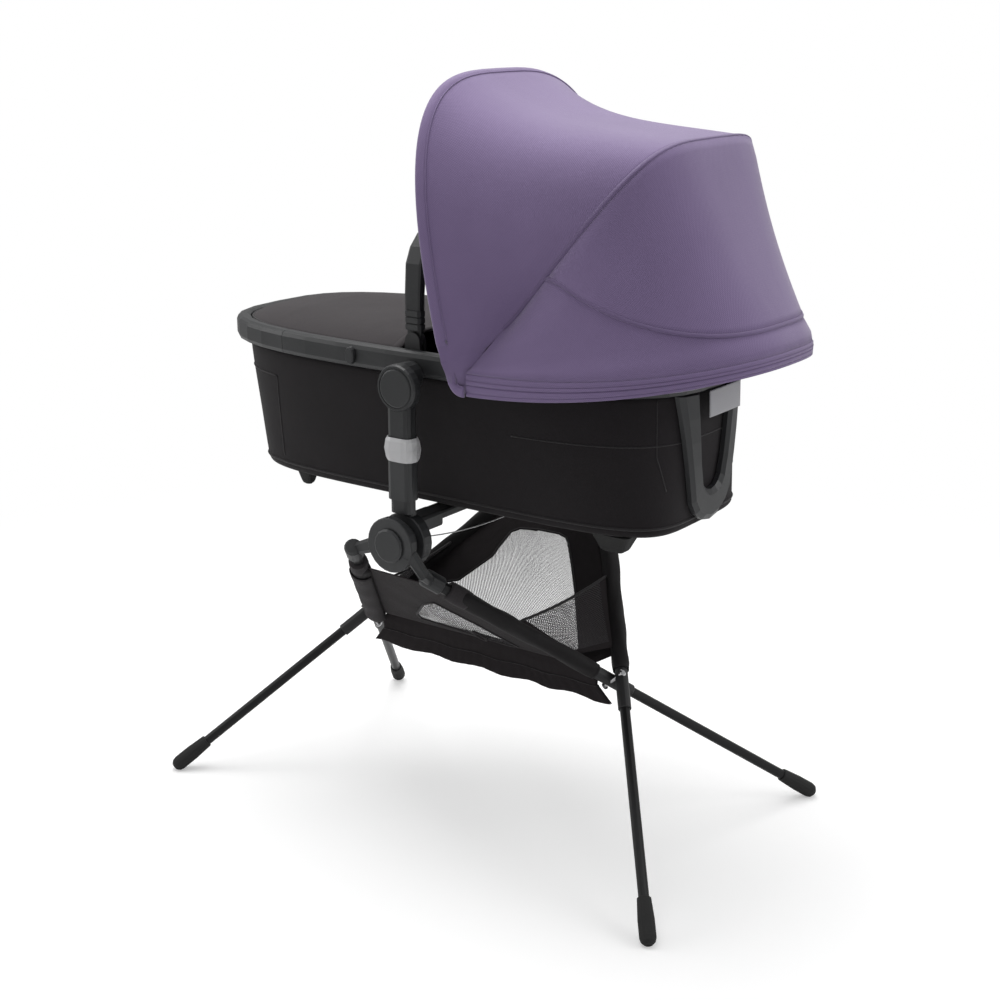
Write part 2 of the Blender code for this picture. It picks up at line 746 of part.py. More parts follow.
def build_hub(name, side):
    outward = (0.0, side, 0.0)
    core = disc("hub_core_" + name, HUB_RADIUS, on_hub(side, CORE_INNER), outward, CORE_THICK,
                "plastic", LEG_AXIS)
    post_y = side * POST_Y
    root_thick = CORE_THICK - 2.0 * DISC_EDGE
    root_y = side * (CORE_INNER + CORE_THICK / 2.0)
    neck_low = HUB_Z + HUB_RADIUS + NECK_ABOVE_HUB
    overlap = NECK_ABOVE_HUB
    for label, low, high, size, y in (
            ("root", HUB_Z + HUB_RADIUS / 4.0, neck_low + overlap, (NECK_WIDTH - 2.0 * EDGE, root_thick), root_y),
            ("neck", neck_low, NECK_TOP_Z + overlap, (NECK_WIDTH, NECK_THICK), post_y),
            ("post", NECK_TOP_Z, POST_TOP_Z, (POST_WIDTH, POST_THICK), post_y)):
        corner = POST_CORNER * size[1] / POST_THICK
        join(core, block(core.name + "_" + label, (0.0, y, (low + high) / 2.0), (*size, high - low), corner))
    cut_pin_hole(core, side)
    slot_depth = TONGUE_LENGTH + EDGE
    slot_size = (TONGUE_WIDTH + 2.0 * CLEAR, TONGUE_THICK + 2.0 * CLEAR, 2.0 * slot_depth)
    cut(core, block(core.name + "_tongue_slot", (0.0, post_y, POST_TOP_Z), slot_size, 0.003))
    turned("hub_pin_" + name, (
        (0.0, PIN_HEAD_THICK),
        (PIN_HEAD_RADIUS - 0.003, PIN_HEAD_THICK),
        (PIN_HEAD_RADIUS, PIN_HEAD_THICK - 0.002),
        (PIN_HEAD_RADIUS, 0.0),
        (PIN_RADIUS, 0.0),
        (PIN_RADIUS, CORE_INNER + EDGE - PIN_HEAD_INNER),
        (0.0, CORE_INNER + EDGE - PIN_HEAD_INNER),
    ), on_hub(side, PIN_HEAD_INNER), outward, 16, "plastic", LEG_AXIS)


def tapered_arm(name, path, sizes):
    """Loft rounded rectangles of their own sizes along a path, with their width upright."""
    upright = Vector((0.0, 0.0, 1.0))
    rings = []
    for index, (point, (width, thick)) in enumerate(zip(path, sizes)):
        before = path[max(index - 1, 0)]
        after = path[min(index + 1, len(path) - 1)]
        tangent = (after - before).normalized()
        across = (upright - tangent * upright.dot(tangent)).normalized()
        normal = tangent.cross(across)
        outline = rounded_rectangle(width, thick, ARM_CORNER, 2)
        rings.append([point + across * px + normal * py for px, py in outline])
    return loft(name, rings)


def add_arm(bracket, leg, path, sizes):
    """Join the arm and the socket that holds the leg's upper tube, and bore the socket."""
    direction = leg_direction(leg)
    mouth = leg_socket(leg)
    join(bracket, tapered_arm(bracket.name + "_arm", path, sizes))
    join(bracket, turned(bracket.name + "_socket", (
        (0.0, BRACKET_SOCKET_LENGTH),
        (BRACKET_SOCKET_RADIUS - 0.003, BRACKET_SOCKET_LENGTH),
        (BRACKET_SOCKET_RADIUS, BRACKET_SOCKET_LENGTH - 0.004),
        (BRACKET_SOCKET_RADIUS, EDGE),
        (BRACKET_SOCKET_RADIUS - EDGE, 0.0),
        (0.0, 0.0),
    ), mouth, direction, 16))
    cut(bracket, cylinder(bracket.name + "_bore", mouth, direction, -BRACKET_SOCKET_RADIUS,
                          BRACKET_SOCKET_LENGTH - BRACKET_SOCKET_END, UPPER_TUBE_RADIUS + CLEAR))


def build_left_bracket(name, side):
    """The ear on the hub that carries the left leg whose foot stands on the other side."""
    leg = "left_near" if side > 0 else "left_far"
    bracket = disc("left_bracket_" + name, LEFT_EAR_RADIUS, on_hub(side, LEFT_EAR_INNER), (0.0, side, 0.0),
                   LEFT_EAR_THICK, "plastic", LEG_AXIS)
    middle = side * BRACKET_Y["left"]
    root = Vector((LEFT_ARM_ROOT[0], middle, HUB_Z + LEFT_ARM_ROOT[1]))
    shoulder = Vector((LEFT_ARM_SHOULDER[0], middle, HUB_Z + LEFT_ARM_SHOULDER[1]))
    seat = leg_socket(leg) + leg_direction(leg) * BRACKET_SOCKET_LENGTH * 0.62
    add_arm(bracket, leg, [root, shoulder, (shoulder + seat) / 2.0, seat], LEFT_ARM_SIZES)
    cut_pin_hole(bracket, side)


def build_right_bracket(name, side):
    """The outer disc on the hub, with the arm that bends in to the right leg's upper tube."""
    leg = "right_near" if side > 0 else "right_far"
    bracket = disc("right_bracket_" + name, HUB_RADIUS, on_hub(side, RIGHT_DISC_INNER), (0.0, side, 0.0),
                   RIGHT_DISC_THICK, "plastic", LEG_AXIS)
    middle = side * BRACKET_Y["right"]
    root = Vector((RIGHT_ARM_ROOT[0], middle, HUB_Z + RIGHT_ARM_ROOT[1]))
    shoulder = Vector((RIGHT_ARM_SHOULDER[0], middle, HUB_Z + RIGHT_ARM_SHOULDER[1]))
    seat = leg_socket(leg) + leg_direction(leg) * BRACKET_SOCKET_LENGTH * 0.55
    knee = Vector((seat.x + RIGHT_KNEE_AHEAD, middle - side * RIGHT_KNEE_STEP, HUB_Z - RIGHT_KNEE_DROP))
    add_arm(bracket, leg, [root, shoulder, knee, seat], RIGHT_ARM_SIZES)
    cut_pin_hole(bracket, side)


def build_collar(name, side):
    """A barrel-shaped release collar that slides on the post, with a notch in its head side."""
    low = POST_TOP_Z - COLLAR_BELOW_TOP
    top = low + COLLAR_HEIGHT
    bore = (POST_WIDTH + 2.0 * CLEAR, POST_THICK + 2.0 * CLEAR, POST_CORNER)
    lip = (COLLAR_WIDTH - 0.008, COLLAR_THICK - 0.006, COLLAR_CORNER - 0.003)
    wall = (COLLAR_WIDTH - 0.002, COLLAR_THICK - 0.001, COLLAR_CORNER)
    waist = (COLLAR_WIDTH + COLLAR_BULGE, COLLAR_THICK + COLLAR_BULGE, COLLAR_CORNER)
    rings = []
    for z, (width, depth, radius) in ((low, bore), (low, lip), (low + 0.005, wall), ((low + top) / 2.0, waist),
                                      (top - 0.005, wall), (top, lip), (top, bore)):
        outline = rounded_rectangle(width, depth, radius, 4)
        rings.append([Vector((px, side * POST_Y + py, z)) for px, py in outline])
    collar = loft("release_collar_" + name, rings, "collar", closed=True)
    centre = ((COLLAR_WIDTH + COLLAR_BULGE) / 2.0, side * POST_Y, (low + top) / 2.0)
    cut(collar, block(collar.name + "_notch", centre, COLLAR_NOTCH))


def build_cross_beam():
    """A flat beam between the two hubs, with a deeper block at each end."""
    end = CORE_INNER - CLEAR
    middle_z = BEAM_TOP_Z - BEAM_HEIGHT / 2.0
    length = 2.0 * (end - BEAM_BLOCK_LENGTH / 2.0)
    beam = block("cross_beam", (0.0, 0.0, middle_z), (BEAM_WIDTH, length, BEAM_HEIGHT), 0.004, 1, "dark_plastic")
    for name, side in SIDES.items():
        centre = (0.0, side * (end - BEAM_BLOCK_LENGTH / 2.0), BEAM_TOP_Z - BEAM_BLOCK_HEIGHT / 2.0 + EDGE / 2.0)
        size = (BEAM_WIDTH + EDGE, BEAM_BLOCK_LENGTH, BEAM_BLOCK_HEIGHT + EDGE)
        join(beam, block("cross_beam_block_" + name, centre, size, 0.005, 1))


def build_cable():
    """The thin cable between the two hubs, which hangs in a shallow bow."""
    end = CORE_INNER - CLEAR
    end_z = BEAM_TOP_Z - BEAM_BLOCK_HEIGHT - CABLE_BELOW_BLOCK
    count = 25
    points = []
    for index in range(count):
        share = 2.0 * index / (count - 1) - 1.0
        points.append((CABLE_X, end * share, end_z - CABLE_SAG * (1.0 - share * share)))
    curve = curve_data("release_cable", points, False, "3D")
    curve.bevel_depth = CABLE_RADIUS
    curve.bevel_resolution = 2
    curve.use_fill_caps = True
    add("release_cable", curve, "steel")


# Basket: four panels between the upper tubes

def seam_offset(leg, axis):
    """How far a sheet's edge lies from a leg's centre line, measured along X (0) or Y (1)."""
    along = leg_direction(leg)[axis]
    return (UPPER_TUBE_RADIUS + BASKET_SEAM_GAP) / math.sqrt(1.0 - along * along)


def build_basket_side(name, side):
    """A side panel that leans in from the tubes, and its hem that hangs below the crossings."""
    left_leg = "left_near" if side > 0 else "left_far"
    right_leg = "right_near" if side > 0 else "right_far"
    columns = 12
    grid = []
    for share in (0.0, 0.25, 0.5, 0.75, 0.92):
        z = BASKET_TOP_Z + (BASKET_BEND_Z - BASKET_TOP_Z) * share
        start = leg_point(left_leg, z)
        start.x += seam_offset(left_leg, 0)
        end = leg_point(right_leg, z)
        end.x -= seam_offset(right_leg, 0)
        grid.append([start.lerp(end, step / columns) for step in range(columns + 1)])
    hem_rows = ((BASKET_BEND_Z, BASKET_BEND_Z, 0.0062), (CROSSING_Z, CROSSING_Z, 0.0044),
                (BASKET_FOLD_Z, CROSSING_Z, BASKET_HALF_GAP),
                (BASKET_LOW_Z, CROSSING_Z - COUPLING_BELOW, BASKET_HALF_GAP))
    for z, edge_z, y in hem_rows:
        start_x = leg_point("left_far", edge_z).x + COUPLING_RADIUS * 1.5
        end_x = leg_point("right_far", edge_z).x - COUPLING_RADIUS * 1.5
        row = []
        for step in range(columns + 1):
            along = step / columns
            wave = BASKET_FOLD_DEPTH * math.sin(6.0 * math.pi * along) * (BASKET_FOLD_Z - z) / 0.027
            rise = wave if z < BASKET_FOLD_Z else 0.0
            row.append(Vector((start_x + (end_x - start_x) * along, side * y, z + rise)))
        grid.append(row)
    shell("basket_" + name, grid, SHEET_THICK, "brown_fabric", LEG_AXIS)


def build_basket_end(pair):
    grid = []
    columns = 6
    for share in (0.0, 0.33, 0.67, 1.0):
        z = BASKET_TOP_Z + (BASKET_END_LOW_Z - BASKET_TOP_Z) * share
        far_point = leg_point(pair + "_near", z) - Vector((0.0, seam_offset(pair + "_near", 1), 0.0))
        near_point = leg_point(pair + "_far", z) + Vector((0.0, seam_offset(pair + "_far", 1), 0.0))
        shift = Vector((-OUTWARD[pair] * BASKET_SEAM_GAP, 0.0, 0.0))
        grid.append([near_point.lerp(far_point, step / columns) + shift for step in range(columns + 1)])
    shell("basket_" + pair + "_end", grid, SHEET_THICK, "black_fabric", LEG_AXIS)


# Carrycot rim: a closed band in two pieces, with a press button on each side

def rim_middle(angle):
    """The middle of the rim's section: half its depth inside the outer oval."""
    step = 0.004
    tangent = (rim_point(angle + step) - rim_point(angle - step)).normalized()
    inward = Vector((-tangent.y, tangent.x, 0.0))
    return rim_point(angle) + inward * RIM_DEPTH / 2.0


def build_rim_piece(name, start, end, steps):
    """Sweep the rim's section between two angles, with its end faces square to the oval."""
    angles = [start + (end - start) * step / steps for step in range(steps + 1)]
    square = 0.003
    angles.insert(1, start + square)
    angles.insert(-1, end - square)
    points = [rim_middle(angle).to_2d() for angle in angles]
    outline = rounded_rectangle(RIM_DEPTH, RIM_HEIGHT, RIM_ROUND)
    raised = Matrix.Translation((0.0, 0.0, RIM_LOW_Z + RIM_HEIGHT / 2.0))
    return swept(name, points, outline, raised, "plastic")


def build_rim():
    seam = rim_angle_at(RIM_SEAM_X)
    rim = build_rim_piece("rim_main", -seam, seam, 30)
    start = rim_angle_at(RIM_SEAM_X - RIM_SEAM_GAP)
    build_rim_piece("rim_foot_section", start, 2.0 * math.pi - start, 14)
    for name, side in SIDES.items():
        build_rim_button(rim, name, side)


def oval_button(name, centre, outward, grow, inner, outer, edge, finish=None):
    """A flat oval piece with an optional chamfer on its outer edge."""
    mesh = bmesh.new()
    middle = Matrix.Translation((0.0, 0.0, (inner + outer) / 2.0))
    bmesh.ops.create_cone(mesh, cap_ends=True, segments=16, radius1=0.5, radius2=0.5,
                          depth=outer - inner, matrix=middle)
    bmesh.ops.scale(mesh, verts=mesh.verts, vec=(BUTTON_WIDTH + grow, BUTTON_HEIGHT + grow, 1.0))
    if edge:
        rim = [item for item in mesh.edges if all(vert.co.z > outer - edge for vert in item.verts)]
        bmesh.ops.bevel(mesh, geom=rim, offset=edge, segments=1, profile=0.5, affect="EDGES")
    return add(name, mesh_data(name, mesh), finish, STAND, aim(centre, outward))


def build_rim_button(rim, name, side):
    angle = side * rim_angle_at(BUTTON_X)
    centre = rim_point(angle) + Vector((0.0, 0.0, RIM_LOW_Z + RIM_HEIGHT / 2.0))
    outward = Vector((0.0, side, 0.0))
    deep = -BUTTON_DEPTH - BUTTON_TRAVEL
    cut(rim, oval_button("rim_main_recess_" + name, centre, outward, 2.0 * CLEAR, deep, BUTTON_DEPTH, 0.0))
    oval_button("rim_button_" + name, centre, outward, 0.0, -BUTTON_DEPTH, BUTTON_PROUD, 0.0015, "plastic")


def build_adapter(name, side):
    """The piece that carries the rim and stands in the post, with its round cover."""
    outward = (0.0, side, 0.0)
    thick = ADAPTER_DISC_THICK
    groove_radius = ADAPTER_CAP_RADIUS + ADAPTER_GROOVE
    adapter = turned("rim_adapter_" + name, (
        (0.0, thick + EDGE),
        (ADAPTER_CAP_RADIUS - 2.0 * EDGE, thick + EDGE),
        (ADAPTER_CAP_RADIUS, thick),
        (ADAPTER_CAP_RADIUS, thick - ADAPTER_GROOVE),
        (groove_radius, thick - ADAPTER_GROOVE),
        (groove_radius, thick),
        (ADAPTER_DISC_RADIUS - 2.0 * EDGE, thick),
        (ADAPTER_DISC_RADIUS, thick - 3.0 * EDGE),
        (ADAPTER_DISC_RADIUS, 0.0),
        (0.0, 0.0),
    ), (0.0, side * ADAPTER_DISC_INNER, ADAPTER_DISC_Z), outward, DISC_SIDES, "plastic")
    neck_y = side * POST_Y
    low = POST_TOP_Z + CLEAR
    high = ADAPTER_DISC_Z - ADAPTER_DISC_RADIUS / 3.5
    join(adapter, block(adapter.name + "_neck", (0.0, neck_y, (low + high) / 2.0),
                        (ADAPTER_NECK_WIDTH, ADAPTER_NECK_THICK, high - low), POST_CORNER))
    tongue_low = POST_TOP_Z - TONGUE_LENGTH
    tongue_high = low + 2.0 * EDGE
    join(adapter, block(adapter.name + "_tongue", (0.0, neck_y, (tongue_low + tongue_high) / 2.0),
                        (TONGUE_WIDTH, TONGUE_THICK, tongue_high - tongue_low), 0.003))
    boss_inner = RIM_HALF_WIDTH + CLEAR
    join(adapter, cylinder(adapter.name + "_boss", (0.0, side * boss_inner, ADAPTER_BOSS_Z), outward,
                           0.0, ADAPTER_DISC_INNER - boss_inner + ADAPTER_BOSS_OVERLAP, ADAPTER_BOSS_RADIUS, 16))


# Carrycot body, base board, mattress, base feet and apron

def body_ring(z, share, inset=0.0, steps=36):
    ring = []
    for step in range(steps):
        point = body_point(2.0 * math.pi * step / steps, share, inset)
        ring.append(Vector((point.x, point.y, z)))
    return ring


def build_body():
    """A cloth tub: one open surface from the floor edge up to the rim, with an even wall."""
    top = RIM_LOW_Z - CLEAR
    height = top - BODY_LOW_Z
    rings = []
    for step in range(3, 0, -1):
        angle = math.pi / 2.0 * step / 3.0
        inset = BODY_EDGE_RADIUS * (1.0 - math.cos(angle))
        rings.append(body_ring(BODY_LOW_Z + BODY_EDGE_RADIUS * (1.0 - math.sin(angle)), 0.0, inset))
    for share in (0.08, 0.36, 0.68):
        rings.append(body_ring(BODY_LOW_Z + height * share, share))
    rings.append(body_ring(top - BODY_COLLAR, 1.0))
    rings.append(body_ring(top, 1.0))
    mesh = bmesh.new()
    rows = [[mesh.verts.new(point) for point in ring] for ring in rings]
    mesh.faces.new(list(reversed(rows[0])))
    for low, high in zip(rows, rows[1:]):
        for index in range(len(low)):
            after = (index + 1) % len(low)
            mesh.faces.new((low[index], low[after], high[after], high[index]))
    data = bpy.data.meshes.new("body_tub")
    mesh.to_mesh(data)
    mesh.free()
    tub = add("body_tub", data, "black_fabric")
    solidify = tub.modifiers.new("wall", "SOLIDIFY")
    solidify.thickness = BODY_WALL
    solidify.offset = -1.0
    solidify.use_even_offset = True
    board_low = BODY_LOW_Z + BODY_WALL + CLEAR
    board_top = board_low + BOARD_THICK
    outline = [point.to_2d() for point in body_ring(0.0, 0.0, BODY_WALL + BOARD_INSET, 36)]
    slab("base_board", outline, board_low, board_top, "dark_plastic")
    build_mattress(board_top + CLEAR)
    for end in BASE_FOOT_AHEAD:
        for name, side in SIDES.items():
            build_base_foot(end, name, side)


def build_mattress(low):
    """A crowned pad with drawn-in sides, smoothed from a coarse cage."""
    rise = MATTRESS_THICK
    rings = []
    for height, inset in ((0.0, 0.060), (0.0, 0.016), (rise * 0.3, 0.0), (rise * 0.75, 0.001),
                          (rise, 0.018), (rise + MATTRESS_CROWN * 0.7, 0.055), (rise + MATTRESS_CROWN, 0.110)):
        rings.append(body_ring(low + height, 0.0, BODY_WALL + MATTRESS_INSET + inset, 18))
    pad = loft("mattress", rings, "mattress")
    smooth = pad.modifiers.new("pad", "SUBSURF")
    smooth.levels = 1
    smooth.render_levels = 1


def build_base_foot(end, name, side):
    length, width, height = BASE_FOOT_SIZE[end]
    ends = {"foot_end": BODY_FOOT_X, "head_end": BODY_HEAD_X}
    x = ends[end] + BASE_FOOT_AHEAD[end]
    y = side * (BODY_HALF_WIDTH - BASE_FOOT_INSET[end])
    top = BODY_LOW_Z - CLEAR
    mesh = bmesh.new()
    bmesh.ops.create_cube(mesh, size=1.0, matrix=Matrix.Diagonal((length, width, height, 1.0)))
    low = [vert for vert in mesh.verts if vert.co.z < 0.0]
    bmesh.ops.scale(mesh, verts=low, vec=(BASE_FOOT_TAPER, BASE_FOOT_TAPER, 1.0))
    rounded = [edge for edge in mesh.edges if min(vert.co.z for vert in edge.verts) < 0.0]
    bmesh.ops.bevel(mesh, geom=rounded, offset=BASE_FOOT_CORNER, segments=3, profile=0.5, affect="EDGES")
    piece = "base_foot_" + end + "_" + name
    add(piece, mesh_data(piece, mesh), "rubber", STAND, Matrix.Translation((x, y, top - height / 2.0)))


def build_apron():
    """The cover over the foot half: a crowned sheet inside the rim."""
    inset = RIM_DEPTH + CLEAR
    foot_x = RIM_FOOT_X + inset
    start = foot_x + APRON_THICK
    rows = 10
    columns = 10
    grid = []
    for i in range(rows):
        share = i / (rows - 1)
        x = start + (APRON_EDGE_X - start) * share ** 1.4
        ratio = (RIM_MIDDLE_X - x) / (RIM_MIDDLE_X - foot_x)
        half = (RIM_HALF_WIDTH - inset) * (1.0 - ratio ** RIM_FOOT_POWER) ** (1.0 / RIM_FOOT_POWER)
        row = []
        for j in range(columns + 1):
            across = -1.0 + 2.0 * j / columns
            dome = (1.0 - across ** 4) * min(1.0, share * 2.5) ** 0.5
            z = RIM_TOP_Z - APRON_BELOW_RIM + APRON_CROWN * dome
            row.append(Vector((x, across * half, z)))
        grid.append(row)
    shell("apron", grid, APRON_THICK, "brown_fabric")


def bar_edges():
    """The bar's outer and inner edges, as (y, z) points from the near top round to the far top."""
    turn_z = BAR_LOW_Z + BAR_TURN_RISE
    outer = []
    inner = []
    straights = (1.0, 0.75, 0.5, 0.25)
    for share in straights:
        z = turn_z + (BAR_TOP_Z - turn_z) * share
        half = BAR_TURN_HALF_WIDTH + (BAR_TOP_HALF_WIDTH - BAR_TURN_HALF_WIDTH) * share
        band = BAR_TURN_BAND + (BAR_TOP_BAND - BAR_TURN_BAND) * share
        outer.append((-half - band / 2.0, z))
        inner.append((-half + band / 2.0, z))
    outer_half = BAR_TURN_HALF_WIDTH + BAR_TURN_BAND / 2.0
    inner_half = BAR_TURN_HALF_WIDTH - BAR_TURN_BAND / 2.0
    inner_turn = BAR_LOW_Z + BAR_FOOT_BAND + inner_half
    steps = 8
    for step in range(steps + 1):
        angle = math.pi + math.pi * step / steps
        outer.append((outer_half * math.cos(angle), turn_z + BAR_TURN_RISE * math.sin(angle)))
        inner.append((inner_half * math.cos(angle), inner_turn + inner_half * math.sin(angle)))
    outer += [(-y, z) for y, z in reversed(outer[:len(straights)])]
    inner += [(-y, z) for y, z in reversed(inner[:len(straights)])]
    return outer, inner


def build_head_bar():
    """The U-shaped bar that lies against the head end of the body."""
    lowest = BODY_LOW_Z + BODY_EDGE_RADIUS
    rings = []
    for (outer_y, outer_z), (inner_y, inner_z) in zip(*bar_edges()):
        ring = []
        for share, lift in ((0.0, 0.0), (0.0, 0.6), (0.18, 1.0), (0.82, 1.0), (1.0, 0.6), (1.0, 0.0)):
            y = outer_y + (inner_y - outer_y) * share
            z = outer_z + (inner_z - outer_z) * share
            x = body_face_x(y, max(z, lowest)) + BAR_BODY_GAP + BAR_THICK * lift
            ring.append(Vector((x, y, z)))
        rings.append(ring)
    loft("head_bar", rings, "plastic")


def build_head_strap():
    """A flat strap over the top of the bar, with its lower end rolled up."""
    top = RIM_LOW_Z - CLEAR
    low = top - STRAP_LENGTH
    x = body_face_x(0.0, top) + BAR_BODY_GAP + BAR_THICK + CLEAR
    outline = [(x, top), (x, low + STRAP_ROLL)]
    steps = 6
    for step in range(steps + 1):
        angle = math.pi + math.pi * step / steps
        outline.append((x + STRAP_ROLL + STRAP_ROLL * math.cos(angle), low + STRAP_ROLL * math.sin(angle)))
    outline += [(x + 2.0 * STRAP_ROLL, low + STRAP_ROLL), (x + STRAP_THICK, low + 2.0 * STRAP_ROLL),
                (x + STRAP_THICK, top)]
    plate("head_strap", outline, STRAP_Y - STRAP_WIDTH / 2.0, STRAP_Y + STRAP_WIDTH / 2.0, "grey_fabric")


# Carry handle with a hinge on each side, inside the rim

def arch_frame(x, z, tilt):
    """Local X across the part, local Y up a plane that is tilted about a pivot line."""
    angle = math.radians(tilt)
    across = Vector((0.0, 1.0, 0.0))
    radial = Vector((math.cos(angle), 0.0, math.sin(angle)))
    turning = across.cross(radial)
    axes = Matrix((across, radial, turning)).transposed()
    return Matrix.Translation((x, 0.0, z)) @ axes.to_4x4()


def build_handle():
    low = LUG_RADIUS + LUG_GAP
    height = HANDLE_TOP_Z - HANDLE_PIVOT_Z
    corner = height - HANDLE_CORNER
    path = [(-HANDLE_Y, low), (-HANDLE_Y, low + 0.030), (-HANDLE_Y, corner - 0.020)]
    steps = 5
    for step in range(1, steps + 1):
        angle = math.pi / 2.0 * step / steps
        y = -HANDLE_Y + HANDLE_CORNER * (1.0 - math.cos(angle))
        path.append((y, corner + HANDLE_CORNER * math.sin(angle)))
    path += [(-y, r) for y, r in reversed(path)]
    count = len(path)
    scales = []
    for index in range(count):
        near_end = min(1.0, 4.0 * min(index, count - 1 - index) / count)
        scales.append(HANDLE_ROOT_SCALE + (1.0 - HANDLE_ROOT_SCALE) * near_end)
    outline = rounded_rectangle(HANDLE_THICK, HANDLE_WIDTH, HANDLE_ROUND)
    frame = arch_frame(HANDLE_X, HANDLE_PIVOT_Z, 90.0)
    handle = swept("carry_handle", path, outline, frame, "plastic", HANDLE_AXIS, scales)
    for name, side in SIDES.items():
        add_handle_root(handle, name, side, HANDLE_PIVOT_Z + low)
        build_handle_hinge(name, side)


def add_handle_root(handle, name, side, low):
    """Join the ribs and the pierced lug at one end of the handle."""
    y = side * HANDLE_Y
    for index in range(RIB_COUNT):
        z = low + RIB_HEIGHT / 2.0 + EDGE + RIB_PITCH * index
        join(handle, block("carry_handle_rib_" + name + str(index), (HANDLE_X, y, z), (*RIB_SIZE, RIB_HEIGHT),
                           0.004, segments=1))
    outline = round_ended(HANDLE_X, HANDLE_PIVOT_Z, LUG_RADIUS, low + 4.0 * EDGE, LUG_RADIUS - 0.0005)
    join(handle, plate("carry_handle_lug_" + name, outline, y - LUG_THICK / 2.0, y + LUG_THICK / 2.0))
    cut(handle, cylinder("carry_handle_pin_hole_" + name, (HANDLE_X, y, HANDLE_PIVOT_Z), (0.0, 1.0, 0.0),
                         -HANDLE_THICK, HANDLE_THICK, HINGE_PIN_RADIUS + CLEAR))


def build_handle_hinge(name, side):
    """A block inside the rim with two cheeks and the pin on which the handle turns."""
    y = side * HANDLE_Y
    half = HANDLE_HINGE_THICK / 2.0
    slot_low = HANDLE_PIVOT_Z - LUG_RADIUS - 2.0 * EDGE
    slot_high = HANDLE_PIVOT_Z + 2.0 * LUG_RADIUS
    outline = round_ended(HANDLE_X, HANDLE_PIVOT_Z, LUG_RADIUS + 0.0005, RIM_LOW_Z + 0.004, HANDLE_WIDTH / 2.0)
    hinge = plate("handle_hinge_" + name, outline, y - half, y + half, "dark_plastic")
    cut(hinge, block(hinge.name + "_slot", (HANDLE_X, y, (slot_low + slot_high) / 2.0),
                     (3.0 * HANDLE_WIDTH, LUG_THICK + 2.0 * CLEAR, slot_high - slot_low)))
    pin_half = half - 1.75 * EDGE
    join(hinge, cylinder(hinge.name + "_pin", (HANDLE_X, y, HANDLE_PIVOT_Z), (0.0, 1.0, 0.0),
                         -pin_half, pin_half, HINGE_PIN_RADIUS))


# Canopy: two bows on a shared pivot, two cloth panels and the hem band on the rim

FRONT_ARCH = (FRONT_ANGLE, FRONT_REACH, FRONT_HALF_WIDTH, FRONT_POWER, 0.0)
REAR_ARCH = (REAR_ANGLE, REAR_REACH, REAR_HALF_WIDTH, REAR_POWER, REAR_FLARE)


def arch_outline(arch, share, offset=0.0):
    """(y, radius) of an arch in its own plane: share runs from the near foot to the far foot."""
    reach, half_width, power, flare = arch[1:]
    turn = math.pi * share
    radius = (reach + offset) * abs(math.sin(turn)) ** (2.0 / power)
    step = min(max((radius - REAR_FLARE_FROM) / (REAR_FLARE_TO - REAR_FLARE_FROM), 0.0), 1.0)
    width = half_width + offset + flare * (1.0 - step * step * (3.0 - 2.0 * step))
    return -width * signed_power(math.cos(turn), 2.0 / power), radius


def arch_point(arch, share):
    y, radius = arch_outline(arch, share)
    tilt = math.radians(arch[0])
    return Vector((CANOPY_X + radius * math.cos(tilt), y, CANOPY_Z + radius * math.sin(tilt)))


def hem_point(share):
    turn = math.pi * share
    x = CANOPY_X + HEM_REACH * abs(math.sin(turn)) ** (2.0 / HEM_POWER)
    y = -HEM_HALF_WIDTH * signed_power(math.cos(turn), 2.0 / HEM_POWER)
    z = HEM_LOW_Z + HEM_RISE * ((x - CANOPY_X) / HEM_REACH) ** 2
    return Vector((x, y, z))


def hem_height(share):
    back = (hem_point(share).x - CANOPY_X) / HEM_REACH
    return HEM_SIDE_HEIGHT + (HEM_BACK_HEIGHT - HEM_SIDE_HEIGHT) * back


def arch_shares(count, margin=0.0):
    """Steps along an arch, closer together at its two feet."""
    shares = [0.5 - 0.5 * math.cos(math.pi * step / (count - 1)) for step in range(count)]
    return [margin + (1.0 - 2.0 * margin) * share for share in shares]


def build_front_panel():
    pivot = Vector((CANOPY_X, 0.0, CANOPY_Z))
    rows = 7
    grid = []
    for i in range(rows):
        u = i / (rows - 1)
        corner_x = CORNER_FRONT_X + (CORNER_REAR_X - CORNER_FRONT_X) * u
        row = [Vector((corner_x, -CORNER_Y, CORNER_Z))]
        for share in arch_shares(19, 0.004):
            front = arch_point(FRONT_ARCH, share)
            rear = arch_point(REAR_ARCH, share)
            point = front.lerp(rear, u * (1.0 - PANEL_GAP / (rear - front).length))
            sag = FRONT_PANEL_SAG * math.sin(math.pi * u) * math.sin(math.pi * share)
            row.append(point + (pivot - point).normalized() * sag)
        row.append(Vector((corner_x, CORNER_Y, CORNER_Z)))
        grid.append(row)
    shell("canopy_front_panel", grid, SHEET_THICK, "violet_fabric", CANOPY_AXIS)


def build_back_panel():
    rows = 6
    grid = []
    for i in range(rows):
        v = i / (rows - 1)
        row = []
        for share in arch_shares(19, HEM_START):
            top = arch_point(REAR_ARCH, share)
            low = hem_point(share) + Vector((0.0, 0.0, hem_height(share) + (SHEET_THICK + CLEAR) / 2.0))
            gap = PANEL_GAP / (low - top).length
            point = top.lerp(low, gap + (1.0 - gap) * v)
            inward = Vector((CANOPY_X - point.x, -point.y, 0.0)).normalized()
            sag = BACK_PANEL_SAG * math.sin(math.pi * v) * math.sin(math.pi * share)
            row.append(point + inward * sag)
        grid.append(row)
    shell("canopy_back_panel", grid, SHEET_THICK, "violet_fabric", CANOPY_AXIS)


